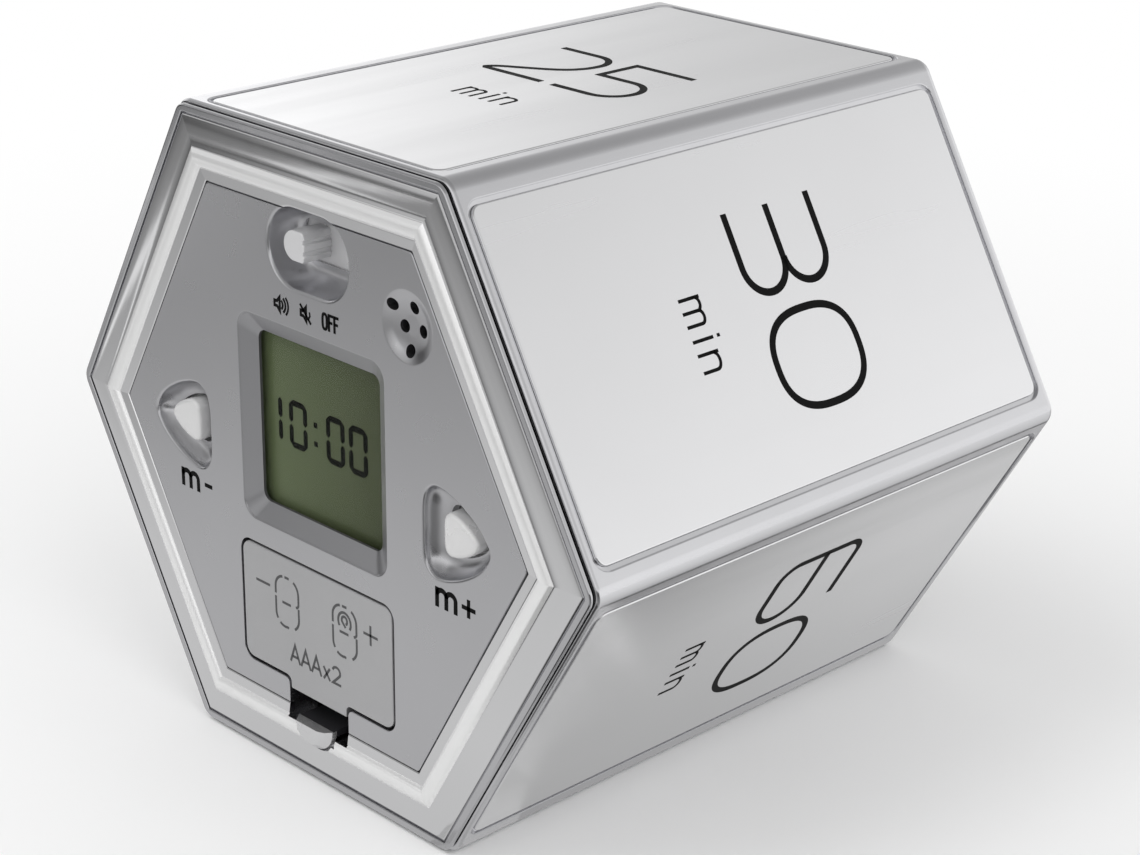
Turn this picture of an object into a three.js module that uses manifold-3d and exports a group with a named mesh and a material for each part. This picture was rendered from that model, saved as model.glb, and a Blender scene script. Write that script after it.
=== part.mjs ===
// A hexagonal flip timer, in millimetres, +Z up.
// The prism lies on one of its six sides. Its axis runs along Y, the end with the display looks
// towards -Y, and the origin is under the middle of the timer, on the surface that it rests on.
// Depths are measured from the crest of the front moulding towards the rear, heights from the axis.

import * as THREE from "three";
import { mergeVertices } from "three/addons/utils/BufferGeometryUtils.js";
import Module from "manifold-3d";

// Fit and resolution
const fitGap = 0.3; // between two pieces that slant, or that slide past each other
const seamGap = 0.2; // between pieces that are glued side by side
const overrun = 1; // how far a cutter runs past what it cuts
const mergeTolerance = 0.0001;
const cornerSteps = 4; // facets of a rounded corner
const innerSteps = 2; // and of a small inner one
const roundSteps = 4; // facets of a rounded edge
const screwSides = 10;
const holeSides = 12;
const drumSides = 20;

// Case
const acrossFlats = 65;
const bodyLength = 65.5; // from the crest of the moulding to the rear face
const edgeRounding = 2; // along the six long edges
const rimRounding = 0.25; // of the front rim's outer edge
const caseRounding = 0.35; // of the case's front edge
const rearRounding = 1.2;
const wall = 2.5;
const innerCorner = 0.5;
const landSetback = 0.5; // the front rim lies this far behind the crest of the moulding
const rimWidth = 1.14; // from the sides to the moulding
const rimSide = 0.3;
const rimInset = 0.35; // from the sides to the rim's outer edge
const seamWidth = 0.3; // the shadow line between the front rim and the case
const seamReach = 0.6; // how deep that line is cut
const lipGap = 0.1; // between the front ring's web and the case's front edge
const webThickness = 0.9; // of the front ring, behind the moulding
const webInset = 5.3; // from the sides to the inner edge of that web

// Front moulding
const bezelInset = 7.15; // from the sides to the edge of the front panel
const bezelBack = 1; // depth of its flat back
const beadDrop = 0.62; // from its crest to its outer edge
const beadSteps = 18;
// Across the moulding from its inner edge, and how far it lies below the crest there.
const beadShares = [
  [0, 0.88],
  [0.05, 0.8],
  [0.18, 0.68],
  [0.26, 0.2],
  [0.36, 0],
  [0.47, 0.3],
  [0.56, 0.64],
  [0.73, 0.68],
  [0.9, 0.78],
  [1, 1],
];

// Side plates
const plateMargin = 2.6; // from a plate's edge to where two sides would meet
const plateFrontMargin = 1.2; // from the case's front edge to the plates
const plateRearMargin = 2.05; // from the plates to the case's rear edge
const plateGap = 0.45; // the line around a plate
const plateBed = 0.25; // of glue under a plate
const plateThickness = 0.9;
const plateCorner = 1.1;

// Front panel
const panelThickness = 2;
const stepWidth = 1.6; // the step that carries the inner edge of the moulding
const flangeThickness = 2;

// Display
const displayHeight = 3.4; // its middle above the axis
const recessWidth = 21;
const recessTall = 20.8;
const recessCorner = 1.2;
const recessBevel = 1.7;
const recessDepth = 1.07;
const lipThickness = 0.3;
const glassWidth = 20.4;
const glassTall = 20.8;
const windowThickness = 0.7;
const glassThickness = 2;
const glassWall = 0.8; // of the frame around the glass, on the back of the panel
const reflectorThickness = 0.25;
const holderPlay = 0.1;
const holderInset = 2.3; // from the glass edge to the opening of the holder, at the sides
const connectorEnd = 0.7; // from the glass edge to the end of a connector strip
const connectorThickness = 1.8;
const connectorInset = 0.2; // from the glass edge to a connector strip

// Slide switch
const dishWidth = 12.1;
const dishTall = 7.7;
const dishCorner = 3.6;
const dishHeight = 21.7; // its middle above the axis
const dishDepth = 3.2;
const dishFloorWidth = 8.4;
const dishFloorTall = 4.5;
const dishFloorCorner = 1.9;
const dishWall = 0.8;
const dishSteps = 5;
const knobWidth = 3;
const knobTall = 2.9;
const knobCorner = 1.3;
const knobProud = 0.3; // above the front panel
const knobTravel = 4; // from the loud position through silent to off
const knobRidge = 0.35;
const knobRidgeSpacing = 1.1;
const shutterLength = 12.4;
const shutterTall = 4.4;
const shutterThickness = 0.5;
const socketWall = 0.5;
const socketDepth = 0.4;
const leverWidth = 1.2;
const leverReach = 0.9; // out of the switch body
const leverDepth = 1.6; // inside the switch body
const switchWidth = 8.6;
const switchTall = 3.8;
const switchBody = 3.6;

// Minute buttons
const buttonDishStart = 15.7; // from the middle plane to the flat side of a dish
const buttonDishLength = 9;
const buttonDishHalf = 4.4;
const buttonDishDepth = 1.8;
const buttonDishWall = 0.8;
const buttonStart = 17.9; // from the middle plane to the flat side of a button
const buttonLength = 4.6;
const buttonHalf = 2.15;
const buttonSetback = 0.8; // below the front panel
const buttonGap = 0.35;
const buttonFlange = 0.7;
const buttonFlangeThickness = 0.6;
const buttonTravel = 0.5;
const tactSize = 6;
const tactBody = 3.5;
const plungerRadius = 1.5;
const plungerSink = 0.8; // inside the switch body at rest
// The upper half of a button's outline, from its flat side to its tip.
const buttonShares = [
  [0, 0.86],
  [0.04, 0.97],
  [0.13, 1],
  [0.34, 0.96],
  [0.56, 0.8],
  [0.76, 0.55],
  [0.91, 0.29],
  [0.98, 0.12],
];

// Buzzer and its grille
const grilleX = 13.9;
const grilleHeight = 18.4;
const grilleRadius = 3.4;
const grilleFloorRadius = 1.4;
const grilleDepth = 0.9;
const grilleHoleRadius = 0.6;
const grilleRing = 2.25; // from the middle hole to the others
const grilleAngles = [131, 59, 0, -72]; // degrees, of the holes around the middle one
const buzzerRadius = 4;
const buzzerBody = 5;
const buzzerMouth = 1;
const buzzerMouthDepth = 0.6;

// Main board and what is on it
const boardThickness = 1.6;
const boardDrop = 8.6; // from the axis down to the straight lower edge
const boardBossRadius = 2;
const upperBossX = 18.5;
const upperBossHeight = 11;
const lowerBossX = 14.4;
const lowerBossDrop = 6.2;
const controllerSize = 7;
const controllerThickness = 1.2;
const controllerHeight = 9;
const sensorSize = 3;
const sensorThickness = 1;
const sensorX = 10;
const sensorHeight = 5;
const crystalLength = 6.2;
const crystalRadius = 1.3;
const crystalX = 10;
const crystalHeight = 14;
const capacitorRadius = 2;
const capacitorLength = 5.4;
const capacitorX = 15;
const capacitorHeight = 4;

// Batteries and their compartment
const cellRadius = 5.2;
const cellLength = 44.5; // over the positive nub
const nubRadius = 1.9;
const nubLength = 1;
const cellGap = 0.4;
const compartmentDrop = 16.4; // its middle below the axis
const compartmentWall = 0.9;
const compartmentFront = 4.2;
const springLength = 3.1;
const springRadius = 2.4;
const springWire = 0.25; // radius
const springTurns = 3;
const springTurnSteps = 8;
const springWireSides = 5;
const contactThickness = 0.4;
const contactSize = 8;
const contactTabWidth = 2;
const contactTabReach = 1.3; // above the compartment
const earWidth = 6;
const earTall = 4.8;
const earThickness = 1.6;
const boxBossX = 15.4;
const boxBossRadius = 2.2;
const boxBossLength = 4.5;
const leadRadius = 0.65;
const leadSides = 8;
const leadSteps = 16;
const leadRise = 5; // from the compartment's top to the pad on the board
const leadBend = 7; // the length over which it rises

// Battery door and its latch
const doorWidth = 22.3;
const doorTop = 9.85; // below the axis
const doorBottom = 22.35;
const doorCorner = 1.2;
const doorGap = 0.25;
const doorThickness = 1.5;
const doorTabHalf = 4.15;
const doorTabBottom = 23.6;
const hookX = 9.5;
const hookWidth = 2.4;
const hookThickness = 1;
const hookRise = 1.2;
const hookArm = 1;
const clipHalf = 2.5;
const clipThickness = 0.7;
const clipLower = 25.75; // top of the lower leg, below the axis
const clipLeg = 4.4; // depth at which the legs turn into the bend
const clipBendSteps = 6;
const padRadius = 2.6;
const padProud = 0.9;
const padTopRadius = 1.8;
const padDepth = 0.6;
const padSteps = 10;
const notchHalf = 4.45;
const earBottom = 26.7; // lower ends of the notch on each side of the pad
const sweepHalf = 3.3; // room that the clip needs behind the moulding as the door swings
const sweepBottom = 27.9;

// Screws
const caseBossWall = 1.75; // around its pilot hole
const caseBossSink = 0.27; // how far a boss sinks into the walls beside it
const caseBossLength = 9;
const headRadius = 1.8;
const headHeight = 1;
const shankRadius = 0.8;
const shankLength = 6;
const pilotRadius = 1.15;
const slotWidth = 0.5;
const slotDepth = 0.4;
const counterbore = 0.3; // of the front screws in the flange
const rearCounterbore = 1.2;
const rearThickness = 2;
const spigotLength = 2.5;
const spigotWall = 1.5;

// Materials
const colours = {
  silver: [0xc4c6c8, 0.35, 0.6],
  rim: [0xb4b6b9, 0.3, 0.7],
  chrome: [0xe4e6e8, 0.12, 1],
  panel: [0x96989b, 0.45, 0.5],
  plate: [0xd2d4d6, 0.3, 0.7],
  door: [0xb2b4b6, 0.5, 0.3],
  pad: [0xdcdedf, 0.35, 0.4],
  button: [0xf4f4f4, 0.35, 0],
  window: [0xa8b09a, 0.08, 0],
  glass: [0x8e957c, 0.15, 0],
  foil: [0xc8ccc0, 0.4, 0.8],
  black: [0x202224, 0.6, 0],
  rubber: [0x3a3a3c, 0.8, 0],
  board: [0x1f5a34, 0.5, 0],
  steel: [0xa9abad, 0.35, 1],
  cell: [0x54606c, 0.4, 0.3],
  red: [0xb3261e, 0.5, 0],
  dark: [0x141414, 0.5, 0],
};

// Places that several pieces share
const apothem = acrossFlats / 2;
const sideWidth = 2 * apothem * Math.tan(Math.PI / 6);
const plateWidth = sideWidth - 2 * plateMargin;
const bezelInner = apothem - bezelInset;
const bezelOuter = apothem - rimWidth;
const rimApothem = apothem - rimInset;
const rimCorner = edgeRounding - rimInset;
const webOuter = apothem - seamReach;
const webCorner = edgeRounding - seamReach;
const seamFront = landSetback + rimSide;
const caseFront = seamFront + seamWidth;
const plateFront = caseFront + plateFrontMargin;
const plateTall = bodyLength - plateRearMargin - plateFront;
const plateMiddle = plateFront + plateTall / 2;
const innerApothem = apothem - wall;
const webInner = apothem - webInset;
const panelFront = landSetback;
const panelBack = panelFront + panelThickness;
const panelApothem = bezelInner - seamGap;
const flangeFront = bezelBack + webThickness;
const flangeBack = flangeFront + flangeThickness;
const stepApothem = webInner - fitGap;
const flangeApothem = innerApothem - fitGap;
const dishFloor = panelFront + dishDepth;
const dishBack = dishFloor + dishWall;
const shutterFront = dishBack + seamGap;
const shutterBack = shutterFront + shutterThickness;
const socketBack = shutterBack + socketDepth;
const switchFront = socketBack + seamGap;
const boardFront = switchFront + switchBody;
const boardBack = boardFront + boardThickness;
const windowFront = panelFront + recessDepth + lipThickness;
const glassFront = windowFront + windowThickness;
const glassBack = glassFront + glassThickness;
const knobX = -knobTravel / 2;
const buttonFloor = panelFront + buttonDishDepth;
const buttonDishBack = buttonFloor + buttonDishWall;
const buttonFront = panelFront + buttonSetback;
const flangePlane = buttonDishBack + fitGap;
const buttonBack = flangePlane + buttonFlangeThickness;
const tactX = buttonStart + buttonLength / 2;
const tactFront = boardFront - tactBody;
const cellX = cellRadius + cellGap / 2;
const compartmentWidth = 4 * cellRadius + 3 * cellGap;
const compartmentTall = 2 * cellRadius + 2 * cellGap;
const doorBack = panelFront + doorThickness;
const doorContactBack = doorBack + contactThickness;
const springFront = doorContactBack;
const nearCellFront = doorContactBack + fitGap;
const farCellFront = springFront + springLength + fitGap;
const rearPlateBack = farCellFront + cellLength + fitGap + contactThickness;
const rearPlateFront = rearPlateBack - contactThickness;
const compartmentBack = rearPlateBack + compartmentWall;
const caseBack = bodyLength - rearThickness;
const crestY = padProud / 2 - bodyLength / 2;
const compartmentTop = compartmentTall / 2 + compartmentWall - compartmentDrop;
const connectorLength = glassWidth - 2 * connectorEnd;
const boxBossBack = panelBack + boxBossLength;
const clipMiddle = (doorTabBottom + clipLower) / 2;
const bendInner = (clipLower - doorTabBottom) / 2;
const bendOuter = bendInner + clipThickness;
const caseScrewAngles = [60, 120, 240, 300];
const caseBossRadius = pilotRadius + caseBossWall;
const caseBossApothem = innerApothem - caseBossRadius + caseBossSink;
const caseScrewReach = caseBossApothem / Math.cos(Math.PI / 6);
const boardCorner = caseScrewReach - caseBossRadius - fitGap;
const pilotDepth = shankLength + fitGap;
const frontScrewBearing = flangeFront + counterbore;
const rearScrewBearing = bodyLength - rearCounterbore;
const boxScrewBearing = boxBossBack + earThickness;

const wasm = await Module();
wasm.setup();

// Turns a closed geometry into a solid that can be cut and joined.
function solid(geometry) {
  const bare = geometry.clone();
  bare.deleteAttribute("normal");
  bare.deleteAttribute("uv");
  const merged = mergeVertices(bare, mergeTolerance);
  return new wasm.Manifold(
    new wasm.Mesh({
      numProp: 3,
      vertProperties: merged.attributes.position.array,
      triVerts: Uint32Array.from(merged.index.array),
    }),
  );
}

// Turns a solid back into a geometry.
function geometryOf(body) {
  const mesh = body.getMesh();
  const positions = new Float32Array(mesh.numVert * 3);
  for (let vertex = 0; vertex < mesh.numVert; vertex++) {
    const start = vertex * mesh.numProp;
    positions.set(mesh.vertProperties.subarray(start, start + 3), vertex * 3);
  }
  const geometry = new THREE.BufferGeometry();
  geometry.setAttribute("position", new THREE.BufferAttribute(positions, 3));
  geometry.setIndex(new THREE.BufferAttribute(mesh.triVerts, 1));
  geometry.computeVertexNormals();
  return geometry;
}

// Makes a solid of points and triangles, turned so that its faces point outwards.
function closed(points, faces) {
  let volume = 0;
  for (let start = 0; start < faces.length; start += 3) {
    const [a, b, c] = faces.slice(start, start + 3).map((index) => points[index]);
    volume += a.dot(new THREE.Vector3().crossVectors(b, c));
  }
  const geometry = new THREE.BufferGeometry();
  geometry.setFromPoints(points);
  geometry.setIndex(volume < 0 ? [...faces].reverse() : faces);
  return solid(geometry);
}

// Joins loops of equal point counts into a solid, with a flat cap on the first and the last.
function loft(loops) {
  const count = loops[0].length;
  const faces = [];
  for (let row = 0; row + 1 < loops.length; row++) {
    for (let column = 0; column < count; column++) {
      const next = (column + 1) % count;
      const here = row * count;
      const there = here + count;
      faces.push(here + column, there + column, here + next);
      faces.push(here + next, there + column, there + next);
    }
  }
  const last = (loops.length - 1) * count;
  for (let column = 1; column + 1 < count; column++) {
    faces.push(0, column, column + 1);
    faces.push(last, last + column + 1, last + column);
  }
  return closed(loops.flat(), faces);
}

// Joins loops into a ring: each loop meets the next, and the last one meets the first.
function ring(loops) {
  const count = loops[0].length;
  const faces = [];
  loops.forEach((loop, row) => {
    const here = row * count;
    const there = ((row + 1) % loops.length) * count;
    for (let column = 0; column < count; column++) {
      const next = (column + 1) % count;
      faces.push(here + column, there + column, here + next);
      faces.push(here + next, there + column, there + next);
    }
  });
  return closed(loops.flat(), faces);
}

// A closed loop in a plane square to the axis, from points that hold x and height.
function loopAt(points, depth) {
  return points.map((point) => new THREE.Vector3(point.x, crestY + depth, point.y));
}

// Corners of a hexagon that stands on a flat side, each one rounded by an arc.
function hexagonPoints(reach, corner, steps = cornerSteps) {
  const centre = (reach - corner) / Math.cos(Math.PI / 6);
  const points = [];
  for (let side = 0; side < 6; side++) {
    const middle = (side * Math.PI) / 3;
    for (let step = 0; step <= steps; step++) {
      const angle = middle + (step / steps - 0.5) * (Math.PI / 3);
      points.push(
        new THREE.Vector2(
          centre * Math.cos(middle) + corner * Math.cos(angle),
          centre * Math.sin(middle) + corner * Math.sin(angle),
        ),
      );
    }
  }
  return points;
}

// A rectangle with round corners, around a middle.
function rectanglePoints(width, tall, corner, x = 0, height = 0) {
  const points = [];
  for (let quarter = 0; quarter < 4; quarter++) {
    const sideX = quarter === 0 || quarter === 3 ? 1 : -1;
    const sideY = quarter < 2 ? 1 : -1;
    for (let step = 0; step <= cornerSteps; step++) {
      const angle = ((quarter + step / cornerSteps) * Math.PI) / 2;
      points.push(
        new THREE.Vector2(
          x + sideX * (width / 2 - corner) + corner * Math.cos(angle),
          height + sideY * (tall / 2 - corner) + corner * Math.sin(angle),
        ),
      );
    }
  }
  return points;
}

// The outline of a button or its dish: flat towards the middle of the panel, pointed outwards.
function buttonPoints(side, start, length, half) {
  const upper = buttonShares.map(
    ([along, up]) => new THREE.Vector2(side * (start + along * length), up * half),
  );
  const lower = upper.map((point) => new THREE.Vector2(point.x, -point.y)).reverse();
  const points = [...upper, ...lower];
  return side < 0 ? points : points.reverse();
}

// A solid with a flat outline, between two depths.
function prism(points, front, back) {
  const geometry = new THREE.ExtrudeGeometry(new THREE.Shape(points), {
    depth: back - front,
    bevelEnabled: false,
  });
  geometry.rotateX(Math.PI / 2);
  geometry.translate(0, crestY + back, 0);
  return solid(geometry);
}

function hexagon(reach, corner, front, back, steps = innerSteps) {
  return prism(hexagonPoints(reach, corner, steps), front, back);
}

// Points of a circle around a middle
function circlePoints(radius, x, height, sides) {
  const points = [];
  for (let side = 0; side < sides; side++) {
    const angle = (side / sides) * 2 * Math.PI;
    points.push(new THREE.Vector2(x + radius * Math.cos(angle), height + radius * Math.sin(angle)));
  }
  return points;
}

// A box between two depths, around a middle.
function block(width, tall, front, back, x = 0, height = 0) {
  const geometry = new THREE.BoxGeometry(width, back - front, tall);
  geometry.translate(x, crestY + (front + back) / 2, height);
  return solid(geometry);
}

// A round bar along the axis, between two depths.
function rod(radius, front, back, x = 0, height = 0, sides = holeSides) {
  const geometry = new THREE.CylinderGeometry(radius, radius, back - front, sides);
  geometry.translate(x, crestY + (front + back) / 2, height);
  return solid(geometry);
}

// A hollow that narrows from its mouth to its floor along a quarter of a round.
function dish(mouth, floor, front, depth) {
  const loops = [loopAt(mouth, front - overrun), loopAt(mouth, front)];
  for (let step = 1; step <= dishSteps; step++) {
    const angle = ((step / dishSteps) * Math.PI) / 2;
    const inward = 1 - Math.cos(angle);
    const points = mouth.map((point, index) => point.clone().lerp(floor[index], inward));
    loops.push(loopAt(points, front + depth * Math.sin(angle)));
  }
  return loft(loops);
}

function caseScrewPlace(degrees) {
  const angle = THREE.MathUtils.degToRad(degrees);
  return [caseScrewReach * Math.cos(angle), caseScrewReach * Math.sin(angle)];
}

// A slotted pan head screw. Its head bears at one depth, and its shank runs to the rear or the front.
function screw(bearing, direction, x, height) {
  const headEnd = bearing - direction * headHeight;
  const shankEnd = bearing + direction * shankLength;
  const slotEnd = headEnd + direction * slotDepth;
  const outside = headEnd - direction * overrun;
  const span = (a, b) => [Math.min(a, b), Math.max(a, b)];
  const head = rod(headRadius, ...span(headEnd, bearing), x, height, holeSides);
  const shank = rod(shankRadius, ...span(bearing - direction * slotDepth, shankEnd), x, height, screwSides);
  const slot = block(2 * headRadius + overrun, slotWidth, ...span(outside, slotEnd), x, height);
  return head.subtract(slot).add(shank);
}

const root = new THREE.Group();
const assembly = new THREE.Group();
assembly.position.z = apothem;
root.add(assembly);

function materialOf(colour) {
  const [color, roughness, metalness] = colours[colour];
  return new THREE.MeshStandardMaterial({ color, roughness, metalness });
}

function addPart(name, body, colour, group = assembly) {
  const mesh = new THREE.Mesh(geometryOf(body), materialOf(colour));
  mesh.name = name;
  group.add(mesh);
}

// The hexagonal sleeve with its plate recesses and its screw bosses
function makeHousing() {
  let sleeve = loft([
    ...endLoops(apothem, edgeRounding, caseFront, caseRounding, 1),
    ...endLoops(apothem, edgeRounding, bodyLength, rearRounding, -1).reverse(),
  ]);
  sleeve = sleeve.subtract(hexagon(innerApothem, innerCorner, caseFront - overrun, bodyLength + overrun));
  sleeve = sleeve.subtract(
    hexagon(webOuter + lipGap, webCorner + lipGap, caseFront - overrun, flangeFront, cornerSteps),
  );
  const recess = new THREE.BoxGeometry(
    plateWidth + 2 * plateGap,
    plateTall + 2 * plateGap,
    2 * (plateThickness + plateBed),
  );
  recess.translate(0, crestY + plateMiddle, apothem);
  for (let side = 0; side < 6; side++) {
    const turned = recess.clone().rotateY((side * Math.PI) / 3);
    sleeve = sleeve.subtract(solid(turned));
  }
  const bore = hexagon(innerApothem + fitGap, innerCorner, caseFront, caseBack);
  const ends = [
    [flangeBack, flangeBack + caseBossLength],
    [caseBack - caseBossLength, caseBack],
  ];
  for (const degrees of caseScrewAngles) {
    const [x, height] = caseScrewPlace(degrees);
    for (const [front, back] of ends) {
      const boss = rod(caseBossRadius, front, back, x, height, drumSides).intersect(bore);
      sleeve = sleeve.add(boss);
    }
    sleeve = sleeve.subtract(rod(pilotRadius, caseFront, frontScrewBearing + pilotDepth, x, height));
    sleeve = sleeve.subtract(rod(pilotRadius, rearScrewBearing - pilotDepth, bodyLength, x, height));
  }
  return sleeve;
}

// Loops of a hexagon's rounded edge, from its end to where the sides run straight.
function endLoops(reach, corner, end, rounding, direction) {
  const loops = [];
  for (let step = 0; step <= roundSteps; step++) {
    const angle = ((step / roundSteps) * Math.PI) / 2;
    const inset = rounding * (1 - Math.sin(angle));
    const along = rounding * (1 - Math.cos(angle));
    loops.push(loopAt(hexagonPoints(reach - inset, corner - inset), end + direction * along));
  }
  return loops;
}

// The notch below the battery door, and the deeper slot that the door's clip sweeps through
function clipNotch(front, back) {
  const tall = earBottom - doorBottom + overrun;
  const slotTall = sweepBottom - doorBottom + overrun;
  const notch = block(2 * notchHalf, tall, front, back, 0, tall / 2 - earBottom);
  return notch.add(block(2 * sweepHalf, slotTall, front, back, 0, slotTall / 2 - sweepBottom));
}

function switchDish() {
  return dish(
    rectanglePoints(dishWidth, dishTall, dishCorner, 0, dishHeight),
    rectanglePoints(dishFloorWidth, dishFloorTall, dishFloorCorner, 0, dishHeight),
    panelFront,
    dishDepth,
  );
}

function makeFrontRing() {
  const slab = loft([
    ...endLoops(rimApothem, rimCorner, landSetback, rimRounding, 1),
    loopAt(hexagonPoints(rimApothem, rimCorner), seamFront),
  ]);
  const web = hexagon(webOuter, webCorner, (landSetback + seamFront) / 2, flangeFront, cornerSteps);
  const mouth = hexagon(bezelOuter, innerCorner, landSetback - overrun, bezelBack);
  const middle = hexagon(webInner, innerCorner, bezelBack - overrun, flangeFront + overrun);
  let body = slab.add(web).subtract(mouth).subtract(middle);
  for (const degrees of caseScrewAngles) {
    const [x, height] = caseScrewPlace(degrees);
    const hole = rod(headRadius + fitGap, bezelBack - overrun, flangeFront + overrun, x, height);
    body = body.subtract(hole);
  }
  return body.subtract(clipNotch(landSetback, flangeFront + overrun));
}

// The bright moulding between the rim and the panel, mitred at the six corners
function makeFrontBezel() {
  const inner = bezelInner;
  const outer = bezelOuter - seamGap;
  const curve = new THREE.SplineCurve(
    beadShares.map(([across, down]) => {
      return new THREE.Vector2(inner + across * (outer - inner), down * beadDrop);
    }),
  );
  const profile = [
    new THREE.Vector2(inner, bezelBack),
    ...curve.getPoints(beadSteps),
    new THREE.Vector2(outer, bezelBack),
  ];
  const mitre = (reach) => hexagonPoints(reach, 0, 1).filter((point, index) => index % 2 === 0);
  let body = ring(profile.map((point) => loopAt(mitre(point.x), point.y)));
  body = body.subtract(clipNotch(-overrun, bezelBack + overrun));
  const pocket = rod(padRadius + fitGap, -overrun, bezelBack + overrun, 0, -clipLower, drumSides);
  return body.subtract(pocket).subtract(switchDish());
}

// The panel that carries the display, the controls, the board and the battery compartment
function makeFrontPanel() {
  let body = hexagon(panelApothem, innerCorner, panelFront, panelBack);
  const inner = hexagon(stepApothem - stepWidth - panelThickness, innerCorner, 0, flangeBack + overrun);
  body = body.add(hexagon(stepApothem, innerCorner, bezelBack, flangeBack).subtract(inner));
  body = body.add(hexagon(flangeApothem, innerCorner, flangeFront, flangeBack).subtract(inner));
  body = body.add(
    prism(
      rectanglePoints(
        glassWidth + 2 * fitGap + 2 * glassWall,
        glassTall + 2 * fitGap + 2 * glassWall,
        glassWall,
        0,
        displayHeight,
      ),
      panelFront + overrun,
      glassBack,
    ),
  );
  const around = rectanglePoints(
    dishWidth + 2 * dishWall,
    dishTall + 2 * dishWall,
    dishCorner + dishWall,
    0,
    dishHeight,
  );
  body = body.add(prism(around, panelFront + overrun, dishBack));
  for (const side of [-1, 1]) {
    const grown = buttonPoints(
      side,
      buttonDishStart - buttonDishWall,
      buttonDishLength + 2 * buttonDishWall,
      buttonDishHalf + buttonDishWall,
    );
    body = body.add(prism(grown, panelFront + overrun, buttonDishBack));
    const [upper, lower, box] = panelScrews(side);
    for (const [radius, back, [x, height]] of [
      [boardBossRadius, boardFront, upper],
      [boardBossRadius, boardFront, lower],
      [boxBossRadius, boxBossBack, box],
    ]) {
      body = body.add(rod(radius, panelFront + overrun, back, x, height));
    }
  }
  body = body.subtract(cutDisplay()).subtract(cutSwitch()).subtract(cutGrille()).subtract(cutDoor());
  for (const side of [-1, 1]) {
    body = body.subtract(cutButton(side));
    for (const [x, height, bearing] of panelScrews(side)) {
      body = body.subtract(rod(pilotRadius, bearing - pilotDepth, bearing, x, height));
    }
  }
  for (const degrees of caseScrewAngles) {
    const [x, height] = caseScrewPlace(degrees);
    body = body.subtract(rod(pilotRadius, flangeFront - overrun, flangeBack + overrun, x, height));
    body = body.subtract(
      rod(headRadius + fitGap, flangeFront - overrun, frontScrewBearing, x, height),
    );
  }
  return body;
}

// Where the screws on one side of the panel stand, and the depth at which their heads bear
function panelScrews(side) {
  return [
    [side * upperBossX, upperBossHeight, boardBack],
    [side * lowerBossX, -lowerBossDrop, boardBack],
    [side * boxBossX, -compartmentDrop, boxScrewBearing],
  ];
}

// The bevelled frame of the display and the pocket for its window and glass
function cutDisplay() {
  const narrow = 2 * recessBevel;
  const mouth = rectanglePoints(recessWidth, recessTall, recessCorner, 0, displayHeight);
  const sight = rectanglePoints(
    recessWidth - narrow,
    recessTall - narrow,
    recessCorner / 2,
    0,
    displayHeight,
  );
  const bevelEnd = panelFront + recessDepth;
  const bevel = loft([
    loopAt(mouth, panelFront - overrun),
    loopAt(mouth, panelFront),
    loopAt(sight, bevelEnd),
    loopAt(sight, windowFront + overrun),
  ]);
  const pocket = block(
    glassWidth + 2 * fitGap,
    glassTall + 2 * fitGap,
    windowFront,
    glassBack + overrun,
    0,
    displayHeight,
  );
  return bevel.add(pocket);
}

function cutSwitch() {
  const slot = prism(
    rectanglePoints(
      knobWidth + knobTravel + 2 * fitGap,
      knobTall + 2 * fitGap,
      knobCorner,
      0,
      dishHeight,
    ),
    dishFloor - overrun,
    dishBack + overrun,
  );
  return switchDish().add(slot);
}

function cutButton(side) {
  const hole = buttonPoints(
    side,
    buttonStart - buttonGap,
    buttonLength + 2 * buttonGap,
    buttonHalf + buttonGap,
  );
  const mouth = buttonPoints(side, buttonDishStart, buttonDishLength, buttonDishHalf);
  return dish(mouth, hole, panelFront, buttonDishDepth).add(
    prism(hole, buttonFloor - overrun, buttonDishBack + overrun),
  );
}

function cutGrille() {
  let cut = dish(
    circlePoints(grilleRadius, grilleX, grilleHeight, drumSides),
    circlePoints(grilleFloorRadius, grilleX, grilleHeight, drumSides),
    panelFront,
    grilleDepth,
  );
  const through = (x, height) =>
    rod(grilleHoleRadius, panelFront - overrun, panelBack + overrun, x, height, screwSides);
  cut = cut.add(through(grilleX, grilleHeight));
  for (const degrees of grilleAngles) {
    const angle = THREE.MathUtils.degToRad(degrees);
    cut = cut.add(
      through(grilleX + grilleRing * Math.cos(angle), grilleHeight + grilleRing * Math.sin(angle)),
    );
  }
  return cut;
}

// The opening for the batteries, with the notch below it
function cutDoor() {
  const tall = doorBottom - doorTop + 2 * doorGap;
  const middle = -(doorBottom + doorTop) / 2;
  const opening = prism(
    rectanglePoints(doorWidth + 2 * doorGap, tall, doorCorner + doorGap, 0, middle),
    panelFront - overrun,
    flangeBack + overrun,
  );
  return opening.add(clipNotch(panelFront - overrun, flangeBack + overrun));
}

function makeRearCover() {
  let body = hexagon(flangeApothem, innerCorner, caseBack, bodyLength);
  const spigot = hexagon(flangeApothem, innerCorner, caseBack - spigotLength, caseBack + overrun);
  const hollow = hexagon(
    flangeApothem - spigotWall,
    innerCorner,
    caseBack - spigotLength - overrun,
    caseBack,
  );
  let rib = spigot.subtract(hollow);
  for (const degrees of caseScrewAngles) {
    const [x, height] = caseScrewPlace(degrees);
    rib = rib.subtract(
      rod(caseBossRadius + fitGap, caseBack - spigotLength - overrun, caseBack, x, height, drumSides),
    );
  }
  body = body.add(rib);
  for (const degrees of caseScrewAngles) {
    const [x, height] = caseScrewPlace(degrees);
    body = body.subtract(rod(pilotRadius, caseBack - overrun, bodyLength + overrun, x, height));
    body = body.subtract(
      rod(headRadius + fitGap, rearScrewBearing, bodyLength + overrun, x, height),
    );
  }
  return body;
}

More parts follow.
